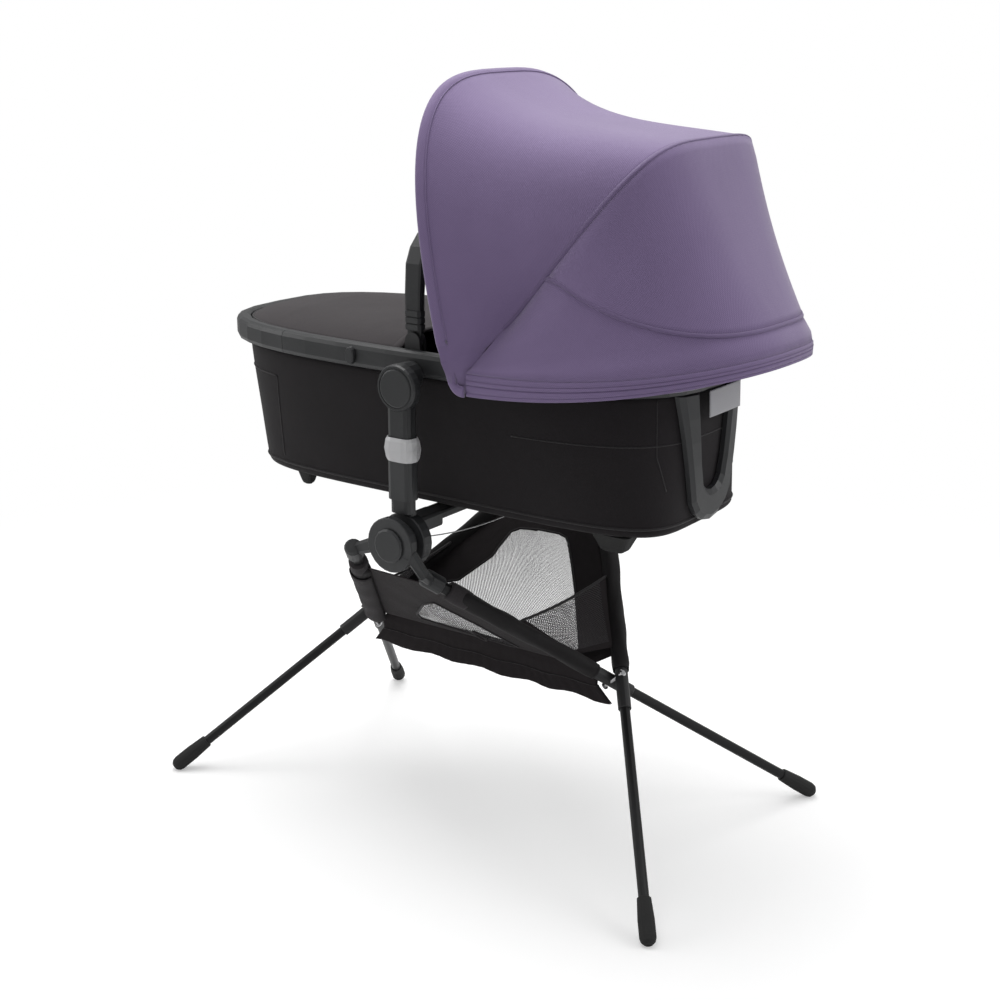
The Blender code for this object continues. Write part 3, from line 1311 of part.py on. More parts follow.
def build_hem():
    """The band at the foot of the cloth, with an inner flap that reaches the rim."""
    rings = []
    flap_z = RIM_LOW_Z + HEM_FLAP_RISE
    rim_start = rim_angle_at(hem_point(HEM_START).x + HEM_THICK)
    for share in arch_shares(29, HEM_START):
        point = hem_point(share)
        after = hem_point(min(share + 0.002, 1.0 - HEM_START / 2.0))
        before = hem_point(max(share - 0.002, HEM_START / 2.0))
        tangent = (after - before).normalized()
        outward = Vector((tangent.y, -tangent.x, 0.0)).normalized() * HEM_THICK / 2.0
        up = Vector((0.0, 0.0, hem_height(share)))
        turn = (2.0 * share - 1.0) / (1.0 - 2.0 * HEM_START)
        rim = rim_point(rim_start * turn, -HEM_RIM_GAP)
        fold = Vector((0.0, 0.0, HEM_THICK))
        rings.append([point + outward, point + outward + up, point - outward + up, point - outward + fold,
                      Vector((rim.x, rim.y, flap_z + HEM_FLAP_THICK)), Vector((rim.x, rim.y, flap_z))])
    loft("canopy_hem", rings, "violet_fabric")


def build_bow(name, arch, plate_y):
    """A flat bow that follows its arch inside the cloth, with a pierced plate at each foot."""
    path = [(-plate_y, 0.0), (-plate_y, BOW_FOOT_REACH / 2.0), (-plate_y, BOW_FOOT_REACH)]
    foot = list(path)
    for share in arch_shares(19):
        y, radius = arch_outline(arch, share, -BOW_INSET)
        if radius > BOW_FOOT_REACH + BOW_FOOT_BLEND:
            path.append((y, radius))
    path += [(-y, radius) for y, radius in reversed(foot)]
    outline = rounded_rectangle(BOW_THICK, BOW_WIDTH, 0.0015, 2)
    bow = swept(name, path, outline, arch_frame(CANOPY_X, CANOPY_Z, arch[0]), "dark_plastic", CANOPY_AXIS)
    half = BOW_PLATE_THICK / 2.0
    for label, side in SIDES.items():
        centre = (CANOPY_X, side * plate_y, CANOPY_Z)
        join(bow, cylinder(name + "_eye_" + label, centre, (0.0, 1.0, 0.0), -half, half, EYE_RADIUS))
        cut(bow, cylinder(name + "_pin_hole_" + label, centre, (0.0, 1.0, 0.0), -2.0 * half, 2.0 * half,
                          HINGE_PIN_RADIUS + CLEAR))


def build_canopy_pivot(name, side, disc_inner, pin_end):
    """A disc on the outside of the rim, with the pin that both bows turn on."""
    turned("canopy_pivot_" + name, (
        (0.0, pin_end - disc_inner),
        (HINGE_PIN_RADIUS, pin_end - disc_inner),
        (HINGE_PIN_RADIUS, PIVOT_DISC_THICK),
        (PIVOT_DISC_RADIUS, PIVOT_DISC_THICK),
        (PIVOT_DISC_RADIUS, 0.0),
        (0.0, 0.0),
    ), (CANOPY_X, side * disc_inner, CANOPY_Z), (0.0, side, 0.0), 16, "dark_plastic")


def build_canopy():
    """Stack the pivot disc and the two bows' plates outwards from the rim, then the cloth."""
    disc_inner = rim_point(rim_angle_at(CANOPY_X - PIVOT_DISC_RADIUS)).y + CLEAR
    rear_plate_y = disc_inner + PIVOT_DISC_THICK + CLEAR + BOW_PLATE_THICK / 2.0
    front_plate_y = rear_plate_y + BOW_PLATE_THICK + LAYER_GAP
    pin_end = front_plate_y + BOW_PLATE_THICK / 2.0 + EDGE
    build_bow("rear_bow", REAR_ARCH, rear_plate_y)
    build_bow("front_bow", FRONT_ARCH, front_plate_y)
    for name, side in SIDES.items():
        build_canopy_pivot(name, side, disc_inner, pin_end)
    build_front_panel()
    build_back_panel()
    build_hem()


def build_all():
    for name, side in SIDES.items():
        build_hub(name, side)
        build_left_bracket(name, side)
        build_right_bracket(name, side)
        build_collar(name, side)
        build_adapter(name, side)
        build_basket_side(name, side)
    for leg in LEG_SIDE:
        build_leg(leg)
    for pair in OUTWARD:
        build_crossing_bolt(pair)
        build_basket_end(pair)
    build_cross_beam()
    build_cable()
    build_rim()
    build_body()
    build_apron()
    build_head_bar()
    build_head_strap()
    build_handle()
    build_canopy()


build_all()
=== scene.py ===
import json
import math

import bmesh
import bpy
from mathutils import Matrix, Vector, noise


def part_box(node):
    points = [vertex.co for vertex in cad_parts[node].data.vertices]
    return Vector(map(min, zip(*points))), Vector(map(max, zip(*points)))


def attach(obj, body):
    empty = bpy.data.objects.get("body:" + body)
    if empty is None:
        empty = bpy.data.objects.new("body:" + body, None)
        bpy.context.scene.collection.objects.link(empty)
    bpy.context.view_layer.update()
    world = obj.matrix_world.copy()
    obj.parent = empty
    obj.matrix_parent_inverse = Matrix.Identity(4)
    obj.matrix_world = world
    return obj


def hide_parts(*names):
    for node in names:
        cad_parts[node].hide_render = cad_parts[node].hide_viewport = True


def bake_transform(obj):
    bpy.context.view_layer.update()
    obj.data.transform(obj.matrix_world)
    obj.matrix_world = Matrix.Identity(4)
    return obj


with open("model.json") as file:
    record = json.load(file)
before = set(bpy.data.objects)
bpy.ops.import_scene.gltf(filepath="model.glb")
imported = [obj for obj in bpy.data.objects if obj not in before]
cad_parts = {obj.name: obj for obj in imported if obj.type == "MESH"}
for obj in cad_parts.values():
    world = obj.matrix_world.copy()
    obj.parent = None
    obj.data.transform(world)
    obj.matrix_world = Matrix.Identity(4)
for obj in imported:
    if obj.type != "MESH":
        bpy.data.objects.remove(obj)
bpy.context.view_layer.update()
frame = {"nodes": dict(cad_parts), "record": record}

scene = bpy.context.scene
UP = Vector((0.0, 0.0, 1.0))
SIDES = {"near": -1.0, "far": 1.0}  # The sign of y
PAIRS = {"left": -1.0, "right": 1.0}  # The sign of x

# Sizes repeated from the part's source, in metres
HUB_X = -0.0058
LAYER = 0.0003
CROSSING_Z = 0.2505
CROSSING_X = {"left": -0.2664, "right": 0.2264}
LEG_SPACING = {"left": 0.0285, "right": 0.0305}
FOOT_Z = 0.0115
FOOT = {"left_near": (-0.483, -0.262958), "left_far": (-0.424, 0.262958),
        "right_near": (0.459, -0.274953), "right_far": (0.442, 0.274953)}
UPPER_TUBE_RADIUS = 0.0095
COUPLING_RADIUS = 0.0105
BASKET_TOP_Z = 0.42
BASKET_BEND_Z = 0.264
BASKET_SHARES = (0.0, 0.25, 0.5, 0.75, 0.92)
# Rows of the hanging hem: their height, the height at which they meet the legs, and y
BASKET_HEM_ROWS = ((0.264, 0.264, 0.0062), (0.2505, 0.2505, 0.0044),
                   (0.235, 0.2505, 0.0016), (0.208, 0.222, 0.0016))
BASKET_END_LOW_Z = 0.29
CABLE_X = 0.016
CABLE_END_Z = 0.503
CABLE_SAG = 0.023
CABLE_Y = 0.2197
CABLE_RADIUS = 0.001
# Foot end x, head end x, half width, middle x, and the powers of the foot and head ends
RIM = (-0.464, 0.398, 0.211, -0.013, 3.1, 3.0)
RIM_LOW_Z = 0.743
RIM_DEPTH = 0.024
BODY_LOW_Z = 0.537
BODY_TOP_Z = RIM_LOW_Z - LAYER
BODY_WALL = 0.0035
BODY_EDGE_RADIUS = 0.009
# Foot end x, head end x and half width
BODY_BOTTOM = (-0.4, 0.374, 0.158)
BODY_TOP_INSET = 0.02
BODY_SHOULDER = 0.971
BODY_POWERS = (4.8, 5.2)
MATTRESS_LOW_Z = 0.5461
MATTRESS_THICK = 0.034
MATTRESS_CROWN = 0.009
MATTRESS_INSET = 0.0115
APRON_EDGE_X = -0.045
APRON_EDGE_Z = 0.774
APRON_CROWN = 0.02
CANOPY = Vector((0.1, 0.0, 0.755))
# Each bow's angle in degrees, reach, half width, power and flare at its foot
FRONT = (103.0, 0.427, 0.262, 3.3, 0.0)
REAR = (51.0, 0.429, 0.192, 4.5, 0.0275)
FLARE_FROM = 0.045
FLARE_TO = 0.14
FRONT_SAG = 0.026
BACK_SAG = 0.01
# Reach, half width and power, and the height at the sides and at the back
HEM = (0.405, 0.236, 2.4)
HEM_LOW_Z = 0.735
HEM_RISE = 0.055
HEM_HEIGHT = (0.034, 0.02)
HEM_START = 0.0085

# The camera, where the photograph was taken from
camera_data = bpy.data.cameras.new("camera")
camera_data.lens = 59.864
camera_data.sensor_width = 36.0
camera = bpy.data.objects.new("camera", camera_data)
camera.location = (1.4811, -2.0664, 1.2704)
camera.rotation_euler = (math.radians(73.252), 0.0, math.radians(35.606))
scene.collection.objects.link(camera)
scene.camera = camera
scene.view_settings.view_transform = "Standard"


# Shader helpers

# A colour Mix node's two colours and its result, which share their names with its other kinds
MIX_COLOURS = (6, 7)
MIX_RESULT = 2


def connect(tree, target, inputs):
    """Set a shader node's inputs, each to a plain value or to the socket that feeds it."""
    for name, value in inputs.items():
        if isinstance(value, bpy.types.NodeSocket):
            tree.links.new(value, target.inputs[name])
        else:
            target.inputs[name].default_value = value


def node(tree, kind, inputs=None, output=0, **settings):
    """Add a shader node and return one of its outputs."""
    new = tree.nodes.new("ShaderNode" + kind)
    for name, value in settings.items():
        setattr(new, name, value)
    connect(tree, new, inputs or {})
    return new.outputs[output]


def maths(tree, operation, *values):
    return node(tree, "Math", dict(enumerate(values)), operation=operation)


def spread(tree, value, low, high):
    """Map a 0 to 1 value onto low to high."""
    return node(tree, "MapRange", {"Value": value, "To Min": low, "To Max": high})


def speckle(tree, place, scale, detail=3.0, rough=0.6):
    inputs = {"Vector": place, "Scale": scale, "Detail": detail, "Roughness": rough}
    return node(tree, "TexNoise", inputs, "Fac")


def blend_colours(tree, factor, first, second):
    """Mix two colours, each a plain red, green and blue or a socket."""
    inputs = {"Factor": factor}
    for place, colour in zip(MIX_COLOURS, (first, second)):
        inputs[place] = colour if isinstance(colour, bpy.types.NodeSocket) else (*colour, 1.0)
    return node(tree, "Mix", inputs, MIX_RESULT, data_type="RGBA")


def new_material(name):
    material = bpy.data.materials.new(name)
    material.use_nodes = True
    tree = material.node_tree
    return material, tree, tree.nodes["Principled BSDF"]


def moulded(name, colour, roughness, grain=1400.0, relief=0.1, gloss=0.5):
    """Moulded plastic: fine spark grain, uneven sheen, and convex edges painted a little paler as a painted
    edge highlight.
    """
    material, tree, shader = new_material(name)
    place = node(tree, "TexCoord", output="Object")
    grainy = speckle(tree, place, grain, 2.0)
    cloudy = speckle(tree, place, 22.0)
    # Convex edges, found by pointiness, are painted paler: a painted edge highlight
    painted_edge_highlight = node(tree, "MapRange", {"Value": node(tree, "NewGeometry", output="Pointiness"),
                                   "From Min": 0.52, "From Max": 0.62})
    edge_highlight_colour = tuple(min(1.0, part * 1.35 + 0.012) for part in colour)
    darker = tuple(part * 0.88 for part in colour)
    body = blend_colours(tree, cloudy, darker, colour)
    bump = node(tree, "Bump", {"Height": grainy, "Strength": relief, "Distance": 0.0004})
    connect(tree, shader, {"Base Color": blend_colours(tree, painted_edge_highlight, body, edge_highlight_colour),
                           "Roughness": spread(tree, cloudy, roughness - 0.07, roughness + 0.07),
                           "Specular IOR Level": gloss,
                           "Normal": bump})
    return material


def metal(name, colour, roughness, metallic, brushed):
    """Metal with fine drawn lines and a cloudy polish."""
    material, tree, shader = new_material(name)
    place = node(tree, "TexCoord", output="Object")
    stretched = node(tree, "Mapping", {"Vector": place, "Scale": brushed})
    lines = speckle(tree, stretched, 60.0, 4.0)
    cloudy = speckle(tree, place, 18.0)
    darker = tuple(part * 0.8 for part in colour)
    bump = node(tree, "Bump", {"Height": lines, "Strength": 0.08, "Distance": 0.0003})
    connect(tree, shader, {"Base Color": blend_colours(tree, cloudy, darker, colour),
                           "Roughness": spread(tree, lines, roughness - 0.06, roughness + 0.1),
                           "Metallic": metallic,
                           "Normal": bump})
    return material


def thread_places(tree, pitch):
    """The piece's own UV in metres, and its two parts scaled to half a turn for each thread."""
    place = node(tree, "UVMap", output="UV")
    scaled = node(tree, "VectorMath", {0: place, "Scale": math.pi / pitch}, operation="SCALE")
    return place, [node(tree, "SeparateXYZ", {0: scaled}, axis) for axis in (0, 1)]


def weave_height(tree, pitch):
    """The piece's own UV, and the height from 0 to 1 of threads over and under each other."""
    place, parts = thread_places(tree, pitch)
    over = maths(tree, "MULTIPLY", *[maths(tree, "SINE", part) for part in parts])
    return place, spread(tree, maths(tree, "MULTIPLY_ADD", over, 0.5, 0.5), 0.0, 1.0)


def cloth(name, dark, light, pitch, melange, roughness=0.9, sheen=0.3, relief=0.5, wrinkles=0.25):
    """Woven cloth: over-and-under threads, mixed yarns, a soft sheen and slight creases."""
    material, tree, shader = new_material(name)
    place, threads = weave_height(tree, pitch)
    yarn_place = node(tree, "Mapping", {"Vector": place, "Scale": (1.0, 3.2, 1.0)})
    yarns = speckle(tree, yarn_place, 0.55 / pitch, 4.0, 0.75)
    broad = speckle(tree, place, 9.0, 2.0)
    mixed = maths(tree, "MULTIPLY", threads, 0.8 - 0.6 * melange)
    mixed = maths(tree, "MULTIPLY_ADD", yarns, melange, mixed)
    mixed = maths(tree, "MULTIPLY_ADD", broad, 0.25, mixed)
    fine = node(tree, "Bump", {"Height": threads, "Strength": relief, "Distance": 0.0004})
    creases = speckle(tree, place, 16.0, 3.0, 0.55)
    bump = node(tree, "Bump", {"Height": creases, "Strength": wrinkles, "Distance": 0.004,
                               "Normal": fine})
    connect(tree, shader, {"Base Color": blend_colours(tree, mixed, dark, light),
                           "Roughness": spread(tree, threads, roughness - 0.08, min(1.0, roughness + 0.05)),
                           "Sheen Weight": sheen,
                           "Specular IOR Level": 0.25,
                           "Normal": bump})
    return material


def net(name, colour, pitch, thread):
    """Knitted mesh: a lattice of threads with open holes between them."""
    material, tree, shader = new_material(name)
    place, parts = thread_places(tree, pitch)
    slopes = [maths(tree, "SINE", maths(tree, operation, *parts)) for operation in ("ADD", "SUBTRACT")]
    hole = maths(tree, "MULTIPLY", *[maths(tree, "ABSOLUTE", slope) for slope in slopes])
    solid = node(tree, "MapRange", {"Value": hole, "From Min": thread, "From Max": thread + 0.12,
                                    "To Min": 1.0, "To Max": 0.0})
    shade = speckle(tree, place, 90.0)
    darker = tuple(part * 0.75 for part in colour)
    bump = node(tree, "Bump", {"Height": hole, "Strength": 0.4, "Distance": 0.0006}, invert=True)
    connect(tree, shader, {"Base Color": blend_colours(tree, shade, darker, colour),
                           "Roughness": spread(tree, shade, 0.7, 0.9),
                           "Alpha": solid,
                           "Normal": bump})
    return material


VIOLET = cloth("violet_cloth", (0.1, 0.068, 0.15), (0.27, 0.2, 0.375), 0.0013,
               0.6, 0.88, sheen=0.35)
VIOLET_TRIM = cloth("violet_trim", (0.088, 0.06, 0.132), (0.225, 0.165, 0.315), 0.001,
                    0.4, 0.85)
VIOLET_LINING = cloth("violet_lining", (0.07, 0.05, 0.1), (0.15, 0.11, 0.2), 0.0011, 0.4)
BLACK = cloth("black_cloth", (0.0055, 0.0045, 0.005), (0.019, 0.016, 0.018), 0.0014,
              0.45, sheen=0.08, relief=0.4)
BROWN = cloth("brown_cloth", (0.011, 0.009, 0.01), (0.04, 0.033, 0.036), 0.0014, 0.55, sheen=0.15)
BASKET = cloth("basket_cloth", (0.006, 0.0045, 0.005), (0.023, 0.018, 0.02), 0.0012,
               0.5, 0.85, sheen=0.06, wrinkles=0.45)
SLEEVE = cloth("sleeve_cloth", (0.004, 0.0035, 0.004), (0.014, 0.0125, 0.0135), 0.0009,
               0.4, 0.66, sheen=0.03, relief=0.35, wrinkles=0.45)
WEBBING = cloth("grey_webbing", (0.28, 0.28, 0.29), (0.52, 0.52, 0.54), 0.0016,
                0.3, 0.75, sheen=0.1, relief=0.8, wrinkles=0.1)
STRAP = cloth("dark_webbing", (0.014, 0.012, 0.013), (0.05, 0.045, 0.048), 0.0015,
              0.35, 0.8, sheen=0.05, relief=0.8, wrinkles=0.1)
QUILT = cloth("mattress_cloth", (0.62, 0.61, 0.58), (0.86, 0.85, 0.82), 0.0012, 0.35, 0.92)
PIPING = cloth("black_piping", (0.01, 0.009, 0.01), (0.034, 0.031, 0.033), 0.001,
               0.35, 0.7, sheen=0.15)
NET = net("basket_net", (0.06, 0.054, 0.058), pitch=0.004, thread=0.2)

PLASTIC = moulded("charcoal_plastic", (0.02, 0.021, 0.0225), roughness=0.4)
DARK_PLASTIC = moulded("black_plastic", (0.012, 0.012, 0.013), roughness=0.45)
RUBBER = moulded("black_rubber", (0.018, 0.018, 0.018), roughness=0.78, grain=700.0, relief=0.25, gloss=0.3)
COLLAR = moulded("grey_plastic", (0.5, 0.5, 0.51), roughness=0.42, grain=900.0, relief=0.05)
TUBE = metal("black_anodised", (0.02, 0.02, 0.021), roughness=0.34, metallic=0.55, brushed=(9.0, 9.0, 1.0))
STEEL = metal("bright_steel", (0.62, 0.62, 0.63), roughness=0.22, metallic=1.0, brushed=(1.0, 1.0, 9.0))

SLOT_FINISH = {"plastic": PLASTIC, "dark_plastic": DARK_PLASTIC, "leg_tube": TUBE, "rubber": RUBBER,
               "steel": STEEL, "collar": COLLAR, "black_fabric": BLACK, "brown_fabric": BROWN,
               "violet_fabric": VIOLET, "grey_fabric": WEBBING, "mattress": QUILT, "bow": DARK_PLASTIC}
for row in frame["record"]["subparts"]:
    cad = frame["nodes"][row["node"]]
    cad.data.materials.clear()
    cad.data.materials.append(SLOT_FINISH[row["material_slot"]])


# Mesh helpers. Points are drawn in the stand's own coordinates and shifted by HUB_X when linked

def link_mesh(name, mesh, material, smooth=True):
    bmesh.ops.recalc_face_normals(mesh, faces=mesh.faces)
    bmesh.ops.translate(mesh, verts=mesh.verts, vec=(HUB_X, 0.0, 0.0))
    data = bpy.data.meshes.new(name)
    mesh.to_mesh(data)
    mesh.free()
    if smooth:
        data.shade_smooth()
    data.materials.append(material)
    piece = bpy.data.objects.new(name, data)
    scene.collection.objects.link(piece)
    return piece


def running_length(points):
    total = 0.0
    lengths = [0.0]
    for before, after in zip(points, points[1:]):
        total += (after - before).length
        lengths.append(total)
    return lengths


def quads(name, grid, material, wrap=False, ends=False):
    """A skin over rows of points, with UV in metres. wrap joins each row's last point to its first."""
    mesh = bmesh.new()
    layer = mesh.loops.layers.uv.new("UVMap")
    columns = len(grid[0])
    verts = [[mesh.verts.new(point) for point in line] for line in grid]
    middle = grid[len(grid) // 2]
    across = running_length(list(middle) + [middle[0]])
    downs = [running_length([line[j] for line in grid]) for j in range(columns)]
    down = [sum(column[i] for column in downs) / columns for i in range(len(grid))]
    for i in range(len(grid) - 1):
        for j in range(columns if wrap else columns - 1):
            k = (j + 1) % columns
            face = mesh.faces.new((verts[i][j], verts[i][k], verts[i + 1][k], verts[i + 1][j]))
            corners = ((across[j], down[i]), (across[j + 1], down[i]),
                       (across[j + 1], down[i + 1]), (across[j], down[i + 1]))
            for loop, corner in zip(face.loops, corners):
                loop[layer].uv = corner
    if ends:
        mesh.faces.new(verts[0])
        mesh.faces.new(verts[-1])
    return link_mesh(name, mesh, material)


def thicken(piece, thickness, offset=0.0, lining=None):
    """Give a skin its cloth thickness, with another material on the inside if one is named."""
    solid = piece.modifiers.new("thickness", "SOLIDIFY")
    solid.thickness = thickness
    solid.offset = offset
    if lining:
        piece.data.materials.append(lining)
        solid.material_offset = 1
    return piece


def steps(count):
    """The shares from 0 to 1 in equal steps."""
    return [step / count for step in range(count + 1)]


def full_turn(count):
    """The angles of a whole turn in equal steps."""
    return [2.0 * math.pi * step / count for step in range(count)]


def sweep(name, stations, profile, material, closed=False):
    """Carry a closed profile of (across, outward) points along stations of (point, across, outward)."""
    grid = [[point + across * a + outward * b for a, b in profile] for point, across, outward in stations]
    if closed:
        grid.append(grid[0])
    return quads(name, grid, material, wrap=True, ends=not closed)


def circle(radius, count):
    return [(radius * math.cos(turn), radius * math.sin(turn)) for turn in full_turn(count)]


def cord_along(name, points, radius, material, closed=False, count=8):
    """A round cord through points."""
    stations = []
    last = len(points) - 1
    for index, point in enumerate(points):
        before = points[index - 1] if index or closed else point
        after = points[(index + 1) % len(points)] if index < last or closed else point
        tangent = (after - before).normalized()
        across = tangent.cross(UP)
        if across.length < 0.2:
            across = tangent.cross(Vector((0.0, 1.0, 0.0)))
        across.normalize()
        stations.append((point, across, across.cross(tangent)))
    return sweep(name, stations, circle(radius, count), material, closed)


def mount(body, slot, *pieces):
    """Let pieces ride on a body. The slot argument is not used."""
    for piece in pieces:
        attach(piece, body)


def hump(share):
    """0 at both ends and 1 in the middle."""
    return math.sin(math.pi * share)


def ripple(point, scale, height, seed):
    """A smooth, repeatable unevenness at a point."""
    return height * noise.noise(point * scale + Vector((seed, seed * 0.7, -seed)))


# Shapes shared with the part's source

def signed_power(value, power):
    return math.copysign(abs(value) ** power, value)


def oval_point(angle, foot_x, head_x, half_width, middle_x, foot_power, head_power):
    cosine = math.cos(angle)
    power = 2.0 / (head_power if cosine > 0.0 else foot_power)
    reach = head_x - middle_x if cosine > 0.0 else middle_x - foot_x
    return Vector((middle_x + reach * signed_power(cosine, power),
                   half_width * signed_power(math.sin(angle), power), 0.0))


def rim_point(angle, inset=0.0):
    foot_x, head_x, half, middle, foot_power, head_power = RIM
    return oval_point(angle, foot_x + inset, head_x - inset, half - inset, middle, foot_power, head_power)


def body_point(angle, share, inset=0.0):
    foot_x, head_x, half = BODY_BOTTOM
    low = oval_point(angle, foot_x + inset, head_x - inset, half - inset, RIM[3], *BODY_POWERS)
    return low.lerp(rim_point(angle, BODY_TOP_INSET + inset), min(share / BODY_SHOULDER, 1.0))


def leg_point(leg, z):
    pair, side = leg.split("_")
    foot = Vector((*FOOT[leg], FOOT_Z))
    crossing_x = CROSSING_X[pair] - PAIRS[pair] * SIDES[side] * LEG_SPACING[pair] / 2.0
    crossing = Vector((crossing_x, 0.0, CROSSING_Z))
    return foot + (crossing - foot) * (z - FOOT_Z) / (CROSSING_Z - FOOT_Z)


def arch_point(share, angle, reach, half_width, power, flare):
    turn = math.pi * share
    radius = reach * abs(math.sin(turn)) ** (2.0 / power)
    step = min(max((radius - FLARE_FROM) / (FLARE_TO - FLARE_FROM), 0.0), 1.0)
    width = half_width + flare * (1.0 - step * step * (3.0 - 2.0 * step))
    tilt = math.radians(angle)
    return CANOPY + Vector((radius * math.cos(tilt), -width * signed_power(math.cos(turn), 2.0 / power),
                            radius * math.sin(tilt)))


def hem_point(share):
    reach, half, power = HEM
    turn = math.pi * share
    x = CANOPY.x + reach * abs(math.sin(turn)) ** (2.0 / power)
    y = -half * signed_power(math.cos(turn), 2.0 / power)
    return Vector((x, y, HEM_LOW_Z + HEM_RISE * ((x - CANOPY.x) / reach) ** 2))


def hem_height(share):
    side, back = HEM_HEIGHT
    return side + (back - side) * (hem_point(share).x - CANOPY.x) / HEM[0]


def arch_shares(count, margin):
    """Shares of an arch's length, closer together at its feet, that leave a margin at both ends."""
    shares = [0.5 - 0.5 * math.cos(math.pi * step / (count - 1)) for step in range(count)]
    return [margin + (1.0 - 2.0 * margin) * share for share in shares]


# Canopy. A profile is a closed row of (across, outward) points

FRONT_SAG_START = 0.04
FRONT_SAG_LEAN = 0.68
# The front cloth's foot: front x, rear x, y and z, and how far its front edge is lifted
CORNER = (0.093, 0.1185, 0.242, 0.7362)
CORNER_LIFT = 0.015
CORNER_STEPS = 8
ARCH_STEPS = 97
FRONT_START = 0.004
EDGE_START = 0.012
SEAM_STEP = 0.02
SHARE_STEP = 0.002
CANOPY_CLOTH = 0.0018
# The roll of the back cloth above the hem: height, place and width
ROLL = (0.0045, 0.95, 0.045)
FLAP_START = 0.052
FLAP_DEPTH = 0.888
FLAP_LEAST = 0.004
FLAP_PROUD = 0.0026
FLAP_CLOTH = 0.0014
FLAP_ROWS = 20
HEM_HALF_THICK = 0.0016
HEM_LIP_Z = 0.0035
HEM_FLAP_Z = (0.011, 0.008)
HEM_RIM_GAP = 0.0014
HEM_SETBACK = 0.004
FRONT_BINDING = [(-0.0012, -0.0016), (-0.002, 0.0004), (-0.001, 0.0022), (0.0012, 0.003),
                 (0.0108, 0.0026), (0.0118, 0.0011), (0.0126, 0.0011), (0.0136, 0.002),
                 (0.0144, 0.001), (0.0138, -0.0002)]
REAR_PIPING = [(-0.0016, 0.0), (-0.001, 0.0016), (0.0006, 0.0024), (0.004, 0.0022),
               (0.0075, 0.0012), (0.0085, 0.0), (0.004, -0.0006)]
FLAP_BINDING = [(-0.001, -0.001), (-0.0012, 0.0006), (0.0, 0.0016), (0.004, 0.0014), (0.005, 0.0004),
                (0.003, -0.0008)]
# The hem's outside, as shares of its height with how far they stand out
HEM_OUTLINE = [(0.00, 0.0000), (0.02, 0.0018), (0.17, 0.002), (0.19, 0.001), (0.21, 0.002),
               (0.47, 0.0022), (0.49, 0.0008), (0.52, 0.0008), (0.54, 0.0024), (0.7, 0.0026),
               (0.72, 0.001), (0.75, 0.0021), (0.93, 0.002), (1.00, 0.0006)]


def front_panel_point(u, share):
    """A point of the front cloth at a share of the way from bow to bow."""
    front = arch_point(share, *FRONT)
    rear = arch_point(share, *REAR)
    point = front.lerp(rear, u)
    place = max(0.0, (u - FRONT_SAG_START) / (1.0 - FRONT_SAG_START)) ** FRONT_SAG_LEAN
    sag = FRONT_SAG * hump(place) * hump(share)
    return point + (CANOPY - point).normalized() * sag


def back_panel_point(v, share, proud):
    """A point over the back cloth at a share of the way from the rear bow to the hem."""
    top = arch_point(share, *REAR)
    low = hem_point(share) + UP * hem_height(share)
    point = top.lerp(low, v)
    inward = Vector((CANOPY.x - point.x, -point.y, 0.0)).normalized()
    sag = BACK_SAG * hump(v) * hump(share)
    return point + inward * (sag - proud)


def fold_between(piece):
    """Bake a panel's placing into its mesh."""
    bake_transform(piece)


def surface_station(surface, u, step_u, share):
    """A point on a panel with the direction across it and the outward normal."""
    point = surface(u, share)
    across = (surface(u + step_u, share) - point).normalized()
    along = surface(u, min(share + SHARE_STEP, 1.0)) - surface(u, max(share - SHARE_STEP, 0.0))
    outward = across.cross(along).normalized()
    if outward.dot(point - CANOPY) < 0.0:
        outward.negate()
    return point, across, outward


def corner_point(u, side):
    """The rounded foot of the front cloth, from its front edge to the seam over the rear bow."""
    corner_front, corner_rear, corner_y, corner_z = CORNER
    return Vector((corner_front + (corner_rear - corner_front) * u, side * corner_y,
                   corner_z + CORNER_LIFT * (1.0 - u) ** 3))


def front_edge_stations():
    """Along the front cloth's free edge: up from one foot, over the bow and down to the other foot."""
    rows = [(corner_point(1.0 - step, -1.0), Vector((0.0, -1.0, 0.0))) for step in steps(CORNER_STEPS)]
    for share in arch_shares(ARCH_STEPS, EDGE_START):
        point, _, outward = surface_station(front_panel_point, 0.0, SEAM_STEP, share)
        rows.append((point, outward))
    rows += [(corner_point(step, 1.0), Vector((0.0, 1.0, 0.0))) for step in steps(CORNER_STEPS)]
    stations = []
    for index, (point, outward) in enumerate(rows):
        before = rows[max(index - 1, 0)][0]
        after = rows[min(index + 1, len(rows) - 1)][0]
        across = (after - before).cross(outward).normalized()
        stations.append((point, across, outward))
    return stations


def build_front_cloth():
    """The cloth from bow to bow, with a binding sewn round its free edge."""
    shares = arch_shares(ARCH_STEPS, FRONT_START)
    grid = [[corner_point(u, -1.0)] + [front_panel_point(u, share) for share in shares]
            + [corner_point(u, 1.0)] for u in steps(32)]
    front = thicken(quads("canopy_front_cloth", grid, VIOLET), CANOPY_CLOTH, lining=VIOLET_LINING)
    edge = sweep("canopy_front_binding", front_edge_stations(), FRONT_BINDING, VIOLET)
    for piece in (front, edge):
        fold_between(piece)
    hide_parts("canopy_front_panel")


def build_back_cloth():
    """The cloth from the rear bow down to the hem, with piping over the bow."""
    seam = sweep("canopy_rear_piping", [surface_station(front_panel_point, 1.0, -SEAM_STEP, share)
                                        for share in arch_shares(ARCH_STEPS, EDGE_START)],
                 REAR_PIPING, VIOLET_TRIM)
    mount("canopy_rear", "violet_fabric", seam)

    height, place, width = ROLL
    grid = []
    for v in steps(24):
        roll = height * math.exp(-((v - place) / width) ** 2)
        grid.append([back_panel_point(v, share, roll) for share in arch_shares(ARCH_STEPS, HEM_START)])
    back = thicken(quads("canopy_back_cloth", grid, VIOLET), CANOPY_CLOTH, lining=VIOLET_LINING)
    fold_between(back)
    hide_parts("canopy_back_panel")


